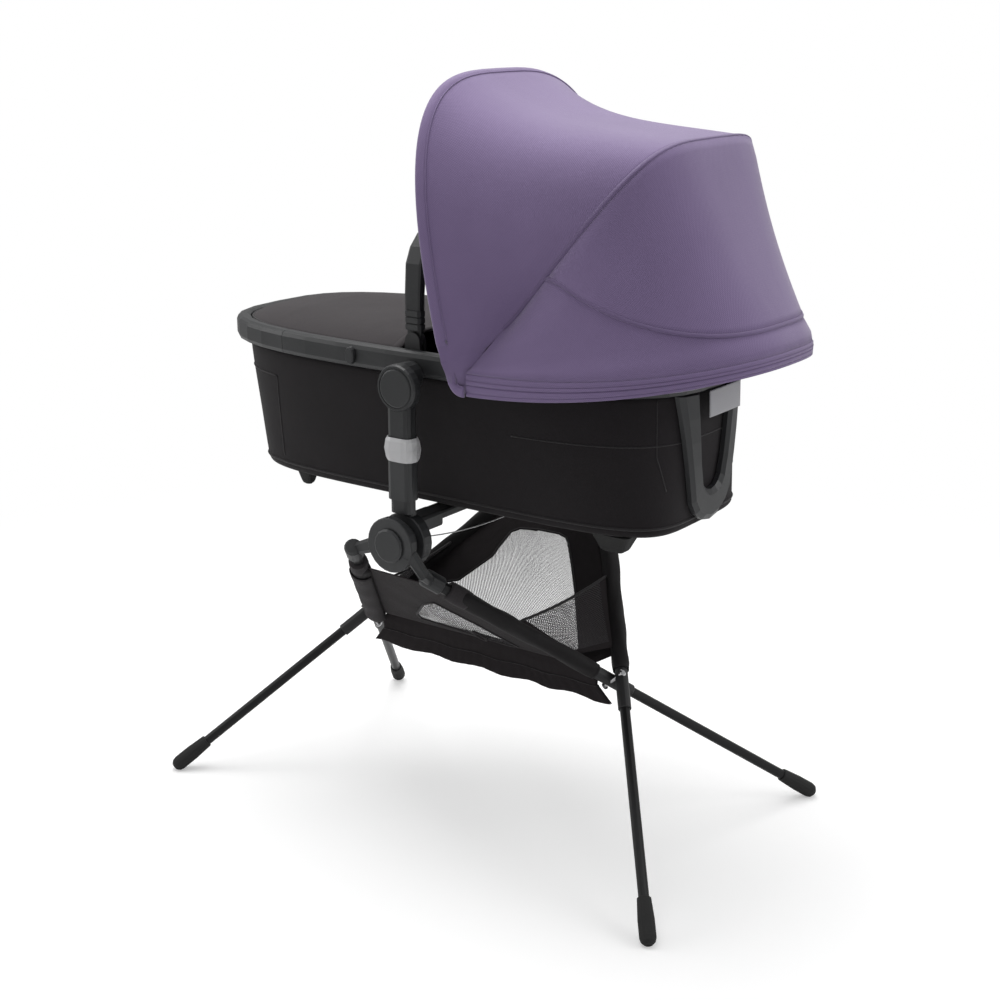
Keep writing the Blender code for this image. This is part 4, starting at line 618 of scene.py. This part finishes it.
def flap_edge(share):
    """How far down the back panel the flap reaches at a share of the arch."""
    place = min(abs(share - 0.5) / (0.5 - FLAP_START), 1.0)
    return max(FLAP_DEPTH * (1.0 - place ** (3.0 + 1.1 * place * place)), FLAP_LEAST)


def flap_point(v, share):
    return back_panel_point(v, share, FLAP_PROUD)


def build_flap():
    """The cover that hangs from the rear bow over the window in the back panel."""
    grid = []
    for i in range(FLAP_ROWS + 1):
        line = []
        for share in arch_shares(81, FLAP_START):
            v = flap_edge(share) * i / FLAP_ROWS
            line.append(back_panel_point(v, share, FLAP_PROUD * min(1.0, 8.0 * v + 0.3)))
        grid.append(line)
    flap = thicken(quads("canopy_flap", grid, VIOLET), FLAP_CLOTH)
    edge = sweep("canopy_flap_edge", [surface_station(flap_point, flap_edge(share), -SEAM_STEP, share)
                                      for share in arch_shares(ARCH_STEPS, FLAP_START)],
                 FLAP_BINDING, VIOLET_TRIM)
    for piece in (flap, edge):
        fold_between(piece)


def build_hem():
    """The band round the foot of the cloth: a bound edge, two zip grooves and a rolled top."""
    grid = []
    foot = hem_point(HEM_START)
    start = math.pi / 2.0
    while rim_point(start).x < foot.x + HEM_SETBACK:
        start -= 0.002
    for share in arch_shares(121, HEM_START):
        point = hem_point(share)
        after = hem_point(min(share + SHARE_STEP, 1.0 - HEM_START / 2.0))
        before = hem_point(max(share - SHARE_STEP, HEM_START / 2.0))
        tangent = (after - before).normalized()
        outward = Vector((tangent.y, -tangent.x, 0.0)).normalized()
        height = hem_height(share)
        line = [point + outward * (HEM_HALF_THICK + out) + UP * (height * up)
                for up, out in HEM_OUTLINE]
        line += [point - outward * HEM_HALF_THICK + UP * up for up in (height, HEM_LIP_Z)]
        rim = rim_point(start * (2.0 * share - 1.0) / (1.0 - 2.0 * HEM_START), -HEM_RIM_GAP)
        line += [Vector((rim.x, rim.y, RIM_LOW_Z + up)) for up in HEM_FLAP_Z]
        grid.append(line)
    hem = quads("canopy_hem_band", grid, VIOLET, wrap=True, ends=True)
    mount("carrycot", "violet_fabric", hem)
    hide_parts("canopy_hem")


# Carrycot body, mattress, apron and strap

BODY_SWELL = 0.0012
BODY_RIPPLE = 0.0018
BODY_ROWS = 20
BODY_EDGE_STEPS = 7
BOTTOM_PIPING_Z = 0.551
HEAD_SEAM_ANGLE = 1.35
HEAD_SEAM_Z = 0.671
# The head end's corner seams: top height, the height below which they lean, angle and lean
HEAD_CORNER = (0.739, 0.655, 0.436, 2.2)
FOOT_SEAM_ANGLE = 2.16
POCKET_TOP_Z = 0.697
UPRIGHT_SEAM_STEP = 0.0075
UPRIGHT_SEAM_POINTS = 19
PAD_VOXEL = 0.006
PAD_PRESSURE = 4.0
PAD_FRAMES = 20
PAD_CAP = 0.006
# The pad's side as (share of its rise, inset), and its top as (inset, share of its crown)
PAD_SIDE = ((0.0, 0.014), (0.15, 0.0085), (0.5, 0.0065), (0.85, 0.0085), (1.0, 0.016))
PAD_TOP = ((0.03, 0.25), (0.06, 0.6), (0.1, 0.85))
PAD_LIFT = 0.0045
PAD_SLIM = 0.006
QUILT_PITCH = 0.062
QUILT_DEPTH = 0.0028
QUILT_WIDTH = 0.0045
APRON_CLOTH = 0.0035
APRON_HEM = [(-0.002, -0.002), (-0.0026, 0.0008), (-0.001, 0.003), (0.012, 0.003),
             (0.0134, 0.0014), (0.012, -0.002)]
STRAP_CLOTH = 0.0016
STRAP_COLUMNS = 24


def body_height(share):
    return BODY_LOW_Z + (BODY_TOP_Z - BODY_LOW_Z) * share


def body_share(z):
    return (z - BODY_LOW_Z) / (BODY_TOP_Z - BODY_LOW_Z)


def body_outside(angle, share):
    """The cloth's outer face, which swells a little between its top and bottom edges."""
    point = body_point(angle, share)
    point.z = body_height(share)
    radial = Vector((point.x - RIM[3], point.y, 0.0)).normalized()
    belly = hump(min(max(share, 0.0), 1.0))
    return point + radial * belly * (BODY_SWELL + ripple(point, 7.0, BODY_RIPPLE, 3.0))


def body_ring(angles, z, share, inset):
    ring = []
    for angle in angles:
        point = body_point(angle, share, inset)
        point.z = z
        ring.append(point)
    return ring


def build_body():
    """The tub's cloth: up its inside, down its outside and round its bottom edge."""
    angles = full_turn(144)
    floor_z = BODY_LOW_Z + BODY_WALL
    rings = [body_ring(angles, floor_z, 0.0, BODY_WALL + BODY_EDGE_RADIUS * 0.5),
             body_ring(angles, floor_z + 0.01, 0.05, BODY_WALL + 0.0008)]
    rings += [body_ring(angles, body_height(share), share, BODY_WALL) for share in (0.35, 0.7, 1.0)]
    for step in range(BODY_ROWS + 1):
        rings.append([body_outside(angle, 1.0 - 0.95 * step / BODY_ROWS) for angle in angles])
    for step in range(1, BODY_EDGE_STEPS + 1):
        turn = math.pi / 2.0 * step / BODY_EDGE_STEPS
        rings.append(body_ring(angles, BODY_LOW_Z + BODY_EDGE_RADIUS * (1.0 - math.sin(turn)), 0.0,
                               BODY_EDGE_RADIUS * (1.0 - math.cos(turn))))
    body = quads("body_cover", rings, BLACK, wrap=True, ends=True)
    mount("carrycot", "black_fabric", body)
    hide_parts("body_tub")
    build_body_seams()


def body_seam(angles, heights):
    """Points on the cover at the given angles and heights."""
    return [body_outside(angle, body_share(z)) for angle, z in zip(angles, heights)]


def build_body_seams():
    """The piping round the bottom edge, the seams of the head end and the pocket of the foot end."""
    round_angles = full_turn(200)
    head_angles = [HEAD_SEAM_ANGLE * (k / 40.0 - 1.0) for k in range(81)]
    foot_angles = [FOOT_SEAM_ANGLE + (math.pi - FOOT_SEAM_ANGLE) * k / 30.0 for k in range(61)]
    seams = [("body_bottom_piping", body_seam(round_angles, [BOTTOM_PIPING_Z] * 200), 0.002, True),
             ("body_head_seam", body_seam(head_angles, [HEAD_SEAM_Z] * 81), 0.0012, False),
             ("body_pocket_seam", body_seam(foot_angles, [POCKET_TOP_Z] * 61), 0.0013, False)]
    top_z, bend_z, corner_angle, lean = HEAD_CORNER
    drops = [UPRIGHT_SEAM_STEP * k for k in range(UPRIGHT_SEAM_POINTS)]
    for name, side in SIDES.items():
        heights = [top_z - drop for drop in drops]
        angles = [side * (corner_angle - lean * max(0.0, bend_z - z)) for z in heights]
        seams.append(("body_head_corner_seam_" + name, body_seam(angles, heights), 0.001, False))
        heights = [POCKET_TOP_Z - drop for drop in drops]
        angles = [side * FOOT_SEAM_ANGLE] * UPRIGHT_SEAM_POINTS
        seams.append(("body_pocket_side_seam_" + name, body_seam(angles, heights), 0.0012, False))
    for name, line, radius, closed in seams:
        mount("carrycot", "black_fabric", cord_along(name, line, radius, PIPING, closed))


def swell_pad(pad):
    """Let the pad's cloth fill out under pressure, hold every point to a short way, and keep the result."""
    remesh = pad.modifiers.new("remesh", "REMESH")
    remesh.mode = "VOXEL"
    remesh.voxel_size = PAD_VOXEL
    pad.data = applied_mesh(pad)
    pad.modifiers.clear()
    rest = [vert.co.copy() for vert in pad.data.vertices]
    settings = pad.modifiers.new("cloth", "CLOTH").settings
    settings.use_pressure = True
    settings.uniform_pressure_force = PAD_PRESSURE
    settings.effector_weights.gravity = 0.0
    for step in range(1, PAD_FRAMES + 1):
        scene.frame_set(step)
    swollen = applied_mesh(pad)
    pad.modifiers.clear()
    scene.frame_set(1)
    pad.data = swollen
    for vert, place in zip(swollen.vertices, rest):
        move = vert.co - place
        if move.length > PAD_CAP:
            vert.co = place + move.normalized() * PAD_CAP


def applied_mesh(piece):
    """The piece's mesh with its modifiers applied."""
    evaluated = piece.evaluated_get(bpy.context.evaluated_depsgraph_get())
    return bpy.data.meshes.new_from_object(evaluated)


def build_mattress():
    """A pad that fills out under pressure, sewn through in cross channels, with piping round its edge."""
    angles = full_turn(120)
    low = MATTRESS_LOW_Z + PAD_LIFT
    rise = MATTRESS_THICK - PAD_SLIM
    rings = [body_ring(angles, low + rise * up, 0.0, MATTRESS_INSET + inset) for up, inset in PAD_SIDE]
    rings += [body_ring(angles, low + rise + MATTRESS_CROWN * lift, 0.0, MATTRESS_INSET + inset)
              for inset, lift in PAD_TOP]
    pad = quads("mattress_pad", rings, QUILT, wrap=True, ends=True)
    swell_pad(pad)
    lowest = MATTRESS_LOW_Z + 0.0002
    top = low + rise * 0.6
    for vert in pad.data.vertices:
        vert.co.z = max(vert.co.z, lowest)
        if vert.co.z > top:
            place = ((vert.co.x - HUB_X) / QUILT_PITCH) % 1.0 - 0.5
            vert.co.z -= QUILT_DEPTH * math.exp(-(place * QUILT_PITCH / QUILT_WIDTH) ** 2)
    pad.data.shade_smooth()
    smooth = pad.modifiers.new("smooth", "SUBSURF")
    smooth.levels = 1
    smooth.render_levels = 1
    edge = [body_point(angle, 0.0, MATTRESS_INSET + 0.0022) + UP * (low + rise * 0.5)
            for angle in full_turn(160)]
    piping = cord_along("mattress_piping", edge, 0.0021, PIPING, True)
    mount("carrycot", "mattress", pad, piping)
    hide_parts("mattress")


def apron_half_width(x, inset):
    foot_x, _, half, middle, power, _ = RIM
    ratio = (middle - min(x, middle)) / (middle - foot_x - inset)
    return (half - inset) * (1.0 - min(ratio, 1.0) ** power) ** (1.0 / power)


def build_apron():
    """The domed cover over the foot end, with piping inside the rim and a hem at its free edge."""
    inset = RIM_DEPTH + 0.0006
    foot_x = RIM[0] + inset + 0.003
    grid = []
    for share in steps(60):
        x = foot_x + (APRON_EDGE_X - foot_x) * share ** 1.35
        half = apron_half_width(x, inset)
        line = []
        for along in steps(48):
            across = -1.0 + 2.0 * along
            dome = (1.0 - across ** 4) * min(1.0, share * 2.5) ** 0.5
            point = Vector((x, across * half, APRON_EDGE_Z + APRON_CROWN * dome))
            edge_wave = 0.0035 * max(0.0, share - 0.86) / 0.14 * math.sin(across * 7.0 + 0.6)
            point.z += edge_wave + ripple(point, 11.0, 0.0016 * (1.0 - across ** 4), 1.0)
            line.append(point)
        grid.append(line)
    apron = thicken(quads("apron_cover", grid, BROWN), APRON_CLOTH)
    border = [line[0] for line in grid[:0:-1]] + grid[0] + [line[-1] for line in grid[1:]]
    border = [point + UP * 0.0022 for point in border]
    piping = cord_along("apron_piping", border, 0.0018, PIPING)
    stations = [(point, Vector((-1.0, 0.0, 0.0)), UP) for point in grid[-1]]
    hem = sweep("apron_front_hem", stations, APRON_HEM, BROWN)
    mount("carrycot", "brown_fabric", apron, piping, hem)
    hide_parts("apron")


def build_strap():
    """The short grey strap at the head end."""
    low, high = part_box("head_strap")
    width = high.y - low.y
    x = (low.x + high.x) / 2.0 - HUB_X
    grid = []
    for share in steps(16):
        z = high.z + (low.z - high.z) * share
        line = []
        for j in range(STRAP_COLUMNS + 1):
            y = low.y + width * j / STRAP_COLUMNS
            bow = 0.0006 * hump(j / STRAP_COLUMNS)
            line.append(Vector((x + bow + 0.001 * share, y, z)))
        grid.append(line)
    strap = thicken(quads("head_end_strap", grid, WEBBING), STRAP_CLOTH)
    mount("carrycot", "grey_fabric", strap)
    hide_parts("head_strap")


# Basket, leg sleeves and cable

# The sides' net windows as outlines of (x, z)
WINDOWS = {"far": [(-0.134, 0.319), (-0.095, 0.358), (-0.092, 0.372), (-0.083, 0.393), (-0.07, 0.399),
                   (-0.032, 0.4025), (0.006, 0.404), (0.022, 0.4), (0.031, 0.394), (0.058, 0.369),
                   (0.089, 0.336), (0.146, 0.274), (0.125, 0.2645), (-0.205, 0.2645), (-0.205, 0.3)],
           "near": [(-0.116, 0.292), (-0.113, 0.306), (-0.061, 0.349), (-0.025, 0.366), (0.028, 0.326),
                    (0.07, 0.281), (0.054, 0.279), (-0.016, 0.284)]}
BASKET_SEAM = UPPER_TUBE_RADIUS + 0.0008
BASKET_STEPS = 12
BASKET_SLACK = 0.004
BASKET_CREASE = 0.003
HANG_DROP = 0.056
HANG_WAVE = 0.002
HANG_CREASE = 0.0022
PUCKER = 0.0007
NET_TOP = {"far": 0.352, "near": 0.368}
NET_ROWS = 24
NET_COLUMNS = 60
NET_SLACK = 0.006
NET_SAG = 0.006
NET_BORDER = 5
SLEEVE_RADIUS = 0.0128
SLEEVE_WIDTH = {"far": 0.0185, "near": 0.0145}
SLEEVE_TOP_Z = {"left": 0.428, "right": 0.41}
SLEEVE_LOW_Z = 0.262
CUFF_RISE = 0.008
CUFF_LENGTH = 0.036
CUFF_BULGE = 0.06
BAND_TOP_Z = 0.405
BAND_LOW_Z = 0.264


def seam_point(leg, z, axis, sign):
    """Where a basket panel meets a leg's tube, out from the tube's middle along x (0) or y (1)."""
    along = (leg_point(leg, 1.0) - leg_point(leg, 0.0)).normalized()[axis]
    point = leg_point(leg, z)
    point[axis] += sign * (BASKET_SEAM / math.sqrt(1.0 - along * along))
    return point


def basket_rows(side):
    """The two ends of each row of a side panel, from its top edge down to its hanging hem."""
    left_leg = "left_near" if side > 0 else "left_far"
    right_leg = "right_near" if side > 0 else "right_far"
    rows = []
    for share in BASKET_SHARES:
        z = BASKET_TOP_Z + (BASKET_BEND_Z - BASKET_TOP_Z) * share
        rows.append((seam_point(left_leg, z, 0, 1.0), seam_point(right_leg, z, 0, -1.0)))
    corner_gap = COUPLING_RADIUS * 1.5
    for z, edge_z, y in BASKET_HEM_ROWS:
        start_x = leg_point("left_far", edge_z).x + corner_gap
        end_x = leg_point("right_far", edge_z).x - corner_gap
        rows.append((Vector((start_x, side * y, z)), Vector((end_x, side * y, z))))
    return rows


def basket_side_grid(side):
    """Points of a side panel: rows of the source, with a slack belly and puckers along the hem."""
    rows = basket_rows(side)
    last = len(rows) - 1
    grid = []
    for i in range(last * BASKET_STEPS + 1):
        row = min(i // BASKET_STEPS, last - 1)
        share = i / BASKET_STEPS - row
        start = rows[row][0].lerp(rows[row + 1][0], share)
        end = rows[row][1].lerp(rows[row + 1][1], share)
        down = i / (last * BASKET_STEPS)
        line = []
        for along in steps(150):
            point = start.lerp(end, along)
            slack = hump(along) * hump(min(down / 0.62, 1.0))
            point.y += side * BASKET_SLACK * slack
            point.y += side * ripple(point, 14.0, BASKET_CREASE * slack, 5.0)
            hang = max(0.0, (BASKET_BEND_Z - point.z) / HANG_DROP)
            crease = ripple(point, 26.0, HANG_CREASE * hang, 1.0)
            point.z += HANG_WAVE * hang * math.sin(along * 31.0) + crease
            pucker = math.sin(along * 150.0 + 2.0 * math.sin(along * 17.0))
            point.y += side * PUCKER * hang * (1.0 + pucker) / 2.0
            line.append(point)
        grid.append(line)
    return grid


def build_basket_side(name):
    side = SIDES[name]
    grid = basket_side_grid(side)
    panel = quads("basket_side_" + name, grid, BASKET)
    panel.data.materials.append(NET)
    thicken(panel, 0.0012)
    for face in panel.data.polygons:
        face.material_index = int(inside_outline(WINDOWS[name], face.center.x - HUB_X, face.center.z))
    trims = [basket_hem_stitch(name, side, grid), window_edge(name, grid, WINDOWS[name])]
    if name == "near":
        trims.append(basket_loop(grid))
    for piece in [panel] + trims:
        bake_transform(piece)
    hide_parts("basket_" + name)


def basket_hem_stitch(name, side, grid):
    """The sewn line along the fold above the hanging hem."""
    radius = 0.0009
    line = [point + Vector((0.0, side * radius, 0.0)) for point in grid[7 * BASKET_STEPS + 1]]
    return cord_along("basket_hem_seam_" + name, line, radius, PIPING, count=6)


def on_grid(grid, along, row):
    """A point of a side panel's grid at a share of its length and a row of the source."""
    down = min(row * BASKET_STEPS, len(grid) - 1.001)
    right = min(along * (len(grid[0]) - 1), len(grid[0]) - 1.001)
    i, j = int(down), int(right)
    upper = grid[i][j].lerp(grid[i][j + 1], right - j)
    lower = grid[i + 1][j].lerp(grid[i + 1][j + 1], right - j)
    return upper.lerp(lower, down - i)


def basket_loop(grid):
    """The short webbing loop sewn to the near side's net."""
    middle = on_grid(grid, 0.6, 3.25)
    up = (on_grid(grid, 0.605, 2.68) - on_grid(grid, 0.595, 3.8)).normalized()
    across = Vector((1.0, 0.0, 0.0))
    outward = Vector((0.0, -0.0035, -0.0035))
    points = [middle + outward + across * 0.0075 * math.cos(turn) + up * 0.017 * math.sin(turn)
              for turn in full_turn(20)]
    return cord_along("basket_net_loop", points, 0.0021, STRAP, closed=True)


def window_edge(name, grid, outline):
    """A folded tape sewn round a window, on the panel's own grid."""
    flat = [point for line in grid for point in line]
    corners = [min(flat, key=lambda point: (point.x - x) ** 2 + (point.z - z) ** 2) for x, z in outline]
    line = []
    for index, before in enumerate(corners):
        after = corners[(index + 1) % len(corners)]
        line += [before.lerp(after, k / 4.0) - Vector((0.0, 0.0012, 0.0)) for k in range(4)]
    return cord_along("basket_window_tape_" + name, line, 0.002, PIPING, closed=True)


def inside_outline(outline, x, z):
    """Whether a point lies in a closed outline of (x, z) corners."""
    inside = False
    for (ax, az), (bx, bz) in zip(outline, outline[1:] + outline[:1]):
        if (az > z) != (bz > z) and x < ax + (bx - ax) * (z - az) / (bz - az):
            inside = not inside
    return inside


def build_basket_end(pair):
    """The low net between two legs, slack in its middle, with an elastic cord along its top edge."""
    grid = []
    for i in range(NET_ROWS + 1):
        ends = []
        for side in ("far", "near"):
            z = NET_TOP[side] + (BASKET_END_LOW_Z - NET_TOP[side]) * i / NET_ROWS
            ends.append(seam_point(pair + "_" + side, z, 1, SIDES[side]))
        line = []
        for j in range(NET_COLUMNS + 1):
            point = ends[0].lerp(ends[1], j / NET_COLUMNS)
            middle = hump(j / NET_COLUMNS)
            point.x -= PAIRS[pair] * (0.0008 + NET_SLACK * middle * hump(i / NET_ROWS))
            point.z -= NET_SAG * middle * (1.0 - i / NET_ROWS)
            line.append(point)
        grid.append(line)
    panel = quads("basket_end_" + pair, grid, BASKET)
    panel.data.materials.append(NET)
    for index, face in enumerate(panel.data.polygons):
        inner = NET_BORDER <= index % NET_COLUMNS < NET_COLUMNS - NET_BORDER
        face.material_index = int(inner and index // NET_COLUMNS < NET_ROWS - 2)
    thicken(panel, 0.001)
    elastic = cord_along("basket_end_elastic_" + pair, grid[0], 0.0023, PIPING)
    mount(pair + "_legs", "black_fabric", panel, elastic)
    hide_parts("basket_" + pair + "_end")


def sleeve_frame(leg):
    """A leg's direction down, the one across it in the basket's side, and the one out of that side."""
    pair, side = leg.split("_")
    other = ("right_" if pair == "left" else "left_") + side
    down = (leg_point(leg, 0.3) - leg_point(leg, 0.4)).normalized()
    toward = leg_point(other, 0.3) - leg_point(leg, 0.3)
    across = (toward - down * toward.dot(down)).normalized()
    return down, across, down.cross(across)


def build_sleeve(leg):
    """The loose cloth sleeve round an upper tube, creased along its length and gathered at both ends."""
    down, across, outward = sleeve_frame(leg)
    pair, side = leg.split("_")
    top = leg_point(leg, SLEEVE_TOP_Z[pair])
    length = (leg_point(leg, SLEEVE_LOW_Z) - top).length
    grid = []
    for share in steps(72):
        gather = min(1.0, share / 0.06, (1.0 - share) / 0.05)
        loose = gather * gather * (3.0 - 2.0 * gather)
        width = SLEEVE_RADIUS + (SLEEVE_WIDTH[side] - SLEEVE_RADIUS) * loose
        place = top + down * length * share
        line = []
        for turn in full_turn(36):
            point = place + across * width * math.cos(turn) + outward * SLEEVE_RADIUS * math.sin(turn)
            fold = math.sin(4.0 * turn + 2.2 * math.sin(7.0 * share))
            crease = loose * (0.0005 * fold + ripple(point, 24.0, 0.0022, 2.0))
            line.append(point + (point - place).normalized() * crease)
        grid.append(line)
    sleeve = thicken(quads("leg_sleeve_" + leg, grid, SLEEVE, wrap=True), 0.001, -1.0)
    cuff_top = leg_point(leg, SLEEVE_TOP_Z[pair] + CUFF_RISE)
    stations = []
    for share in steps(12):
        bulge = 1.0 + CUFF_BULGE * hump(share)
        stations.append((cuff_top + down * (CUFF_LENGTH * share), across * bulge, outward * bulge))
    cuff = sweep("leg_cuff_" + leg, stations, circle(SLEEVE_RADIUS + 0.0018, 28), STRAP)
    pieces = [sleeve, cuff]
    if pair == "left":
        pieces.append(build_sleeve_band(leg, down, across, outward))
    mount(pair + "_legs", "black_fabric", *pieces)


def build_sleeve_band(leg, down, across, outward):
    """The flat webbing band sewn down the outside of a left sleeve."""
    if outward.y * SIDES[leg.split("_")[1]] > 0.0:
        outward = -outward
    wide = SLEEVE_WIDTH["far"] + 0.0012
    top = leg_point(leg, BAND_TOP_Z)
    length = (leg_point(leg, BAND_LOW_Z) - top).length
    turns = [math.pi * (0.08 + 0.84 * j / 16.0) for j in range(17)]
    grid = []
    for i in range(41):
        place = top + down * length * i / 40.0
        lift = SLEEVE_RADIUS + 0.003 + 0.0007 * math.sin(i * 0.55)
        grid.append([place + across * wide * math.cos(turn) + outward * lift * math.sin(turn)
                     for turn in turns])
    return thicken(quads("sleeve_band_" + leg, grid, STRAP), 0.0014)


def build_cable():
    places = [2.0 * share - 1.0 for share in steps(16)]
    points = [Vector((CABLE_X, CABLE_Y * place, CABLE_END_Z - CABLE_SAG * (1.0 - place * place)))
              for place in places]
    cable = cord_along("release_cable_wire", points, CABLE_RADIUS, STEEL, count=10)
    mount("stand_core", "steel", cable)
    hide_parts("release_cable")


# Floor and light

WHITE = (1.0, 1.0, 1.0, 1.0)
FLOOR_COLOUR = (0.8, 0.8, 0.8, 1.0)
FLOOR_HALF = 60.0
FLOOR_GLOW = 0.36
FADE_FROM = 0.75
FADE_TO = 2.0
WORLD_LIGHT = 0.42
# Name, place, the point it faces, size and power
LAMPS = (("top_light", (-0.5, 0.3, 3.1), (0.0, 0.0, 0.7), 2.2, 66.0),
         ("left_light", (-2.6, -1.2, 1.9), (0.0, 0.0, 0.6), 1.6, 16.0),
         ("right_light", (2.6, 1.0, 2.0), (0.2, 0.0, 0.8), 1.6, 20.0))


def build_floor():
    """A floor that takes shadows near the stand and fades to plain white farther away."""
    material, tree, shader = new_material("white_floor")
    connect(tree, shader, {"Base Color": FLOOR_COLOUR, "Roughness": 0.9})
    seen = node(tree, "LightPath", output="Is Camera Ray")
    glow = node(tree, "Emission", {"Color": WHITE, "Strength": FLOOR_GLOW})
    both = node(tree, "AddShader", {0: shader.outputs[0], 1: glow})
    white = node(tree, "Emission", {"Color": WHITE, "Strength": 1.0})
    place = node(tree, "NewGeometry", output="Position")
    away = node(tree, "VectorMath", {0: place}, "Value", operation="LENGTH")
    fade = node(tree, "MapRange", {"Value": away, "From Min": FADE_FROM, "From Max": FADE_TO},
                interpolation_type="SMOOTHSTEP")
    faded = node(tree, "MixShader", {0: fade, 1: both, 2: white})
    mixed = node(tree, "MixShader", {0: seen, 1: shader.outputs[0], 2: faded})
    connect(tree, tree.nodes["Material Output"], {"Surface": mixed})
    mesh = bmesh.new()
    bmesh.ops.create_grid(mesh, x_segments=1, y_segments=1, size=FLOOR_HALF)
    floor = link_mesh("floor", mesh, material, smooth=False)


def build_light():
    """White surroundings, dimmer as light than they look, and three soft lamps."""
    world = bpy.data.worlds.new("studio")
    scene.world = world
    world.use_nodes = True
    tree = world.node_tree
    seen = node(tree, "LightPath", output="Is Camera Ray")
    strength = spread(tree, seen, WORLD_LIGHT, 1.0)
    connect(tree, tree.nodes["Background"], {"Color": WHITE, "Strength": strength})
    for name, place, target, size, power in LAMPS:
        lamp = bpy.data.lights.new(name, "AREA")
        lamp.size = size
        lamp.energy = power
        holder = bpy.data.objects.new(name, lamp)
        holder.location = place
        holder.rotation_euler = (Vector(target) - Vector(place)).to_track_quat("-Z", "Y").to_euler()
        scene.collection.objects.link(holder)


build_floor()
build_light()
build_front_cloth()
build_back_cloth()
build_flap()
build_hem()
build_body()
build_mattress()
build_apron()
build_strap()
for side_name in SIDES:
    build_basket_side(side_name)
for pair_name in PAIRS:
    build_basket_end(pair_name)
for leg_name in FOOT:
    build_sleeve(leg_name)
build_cable()
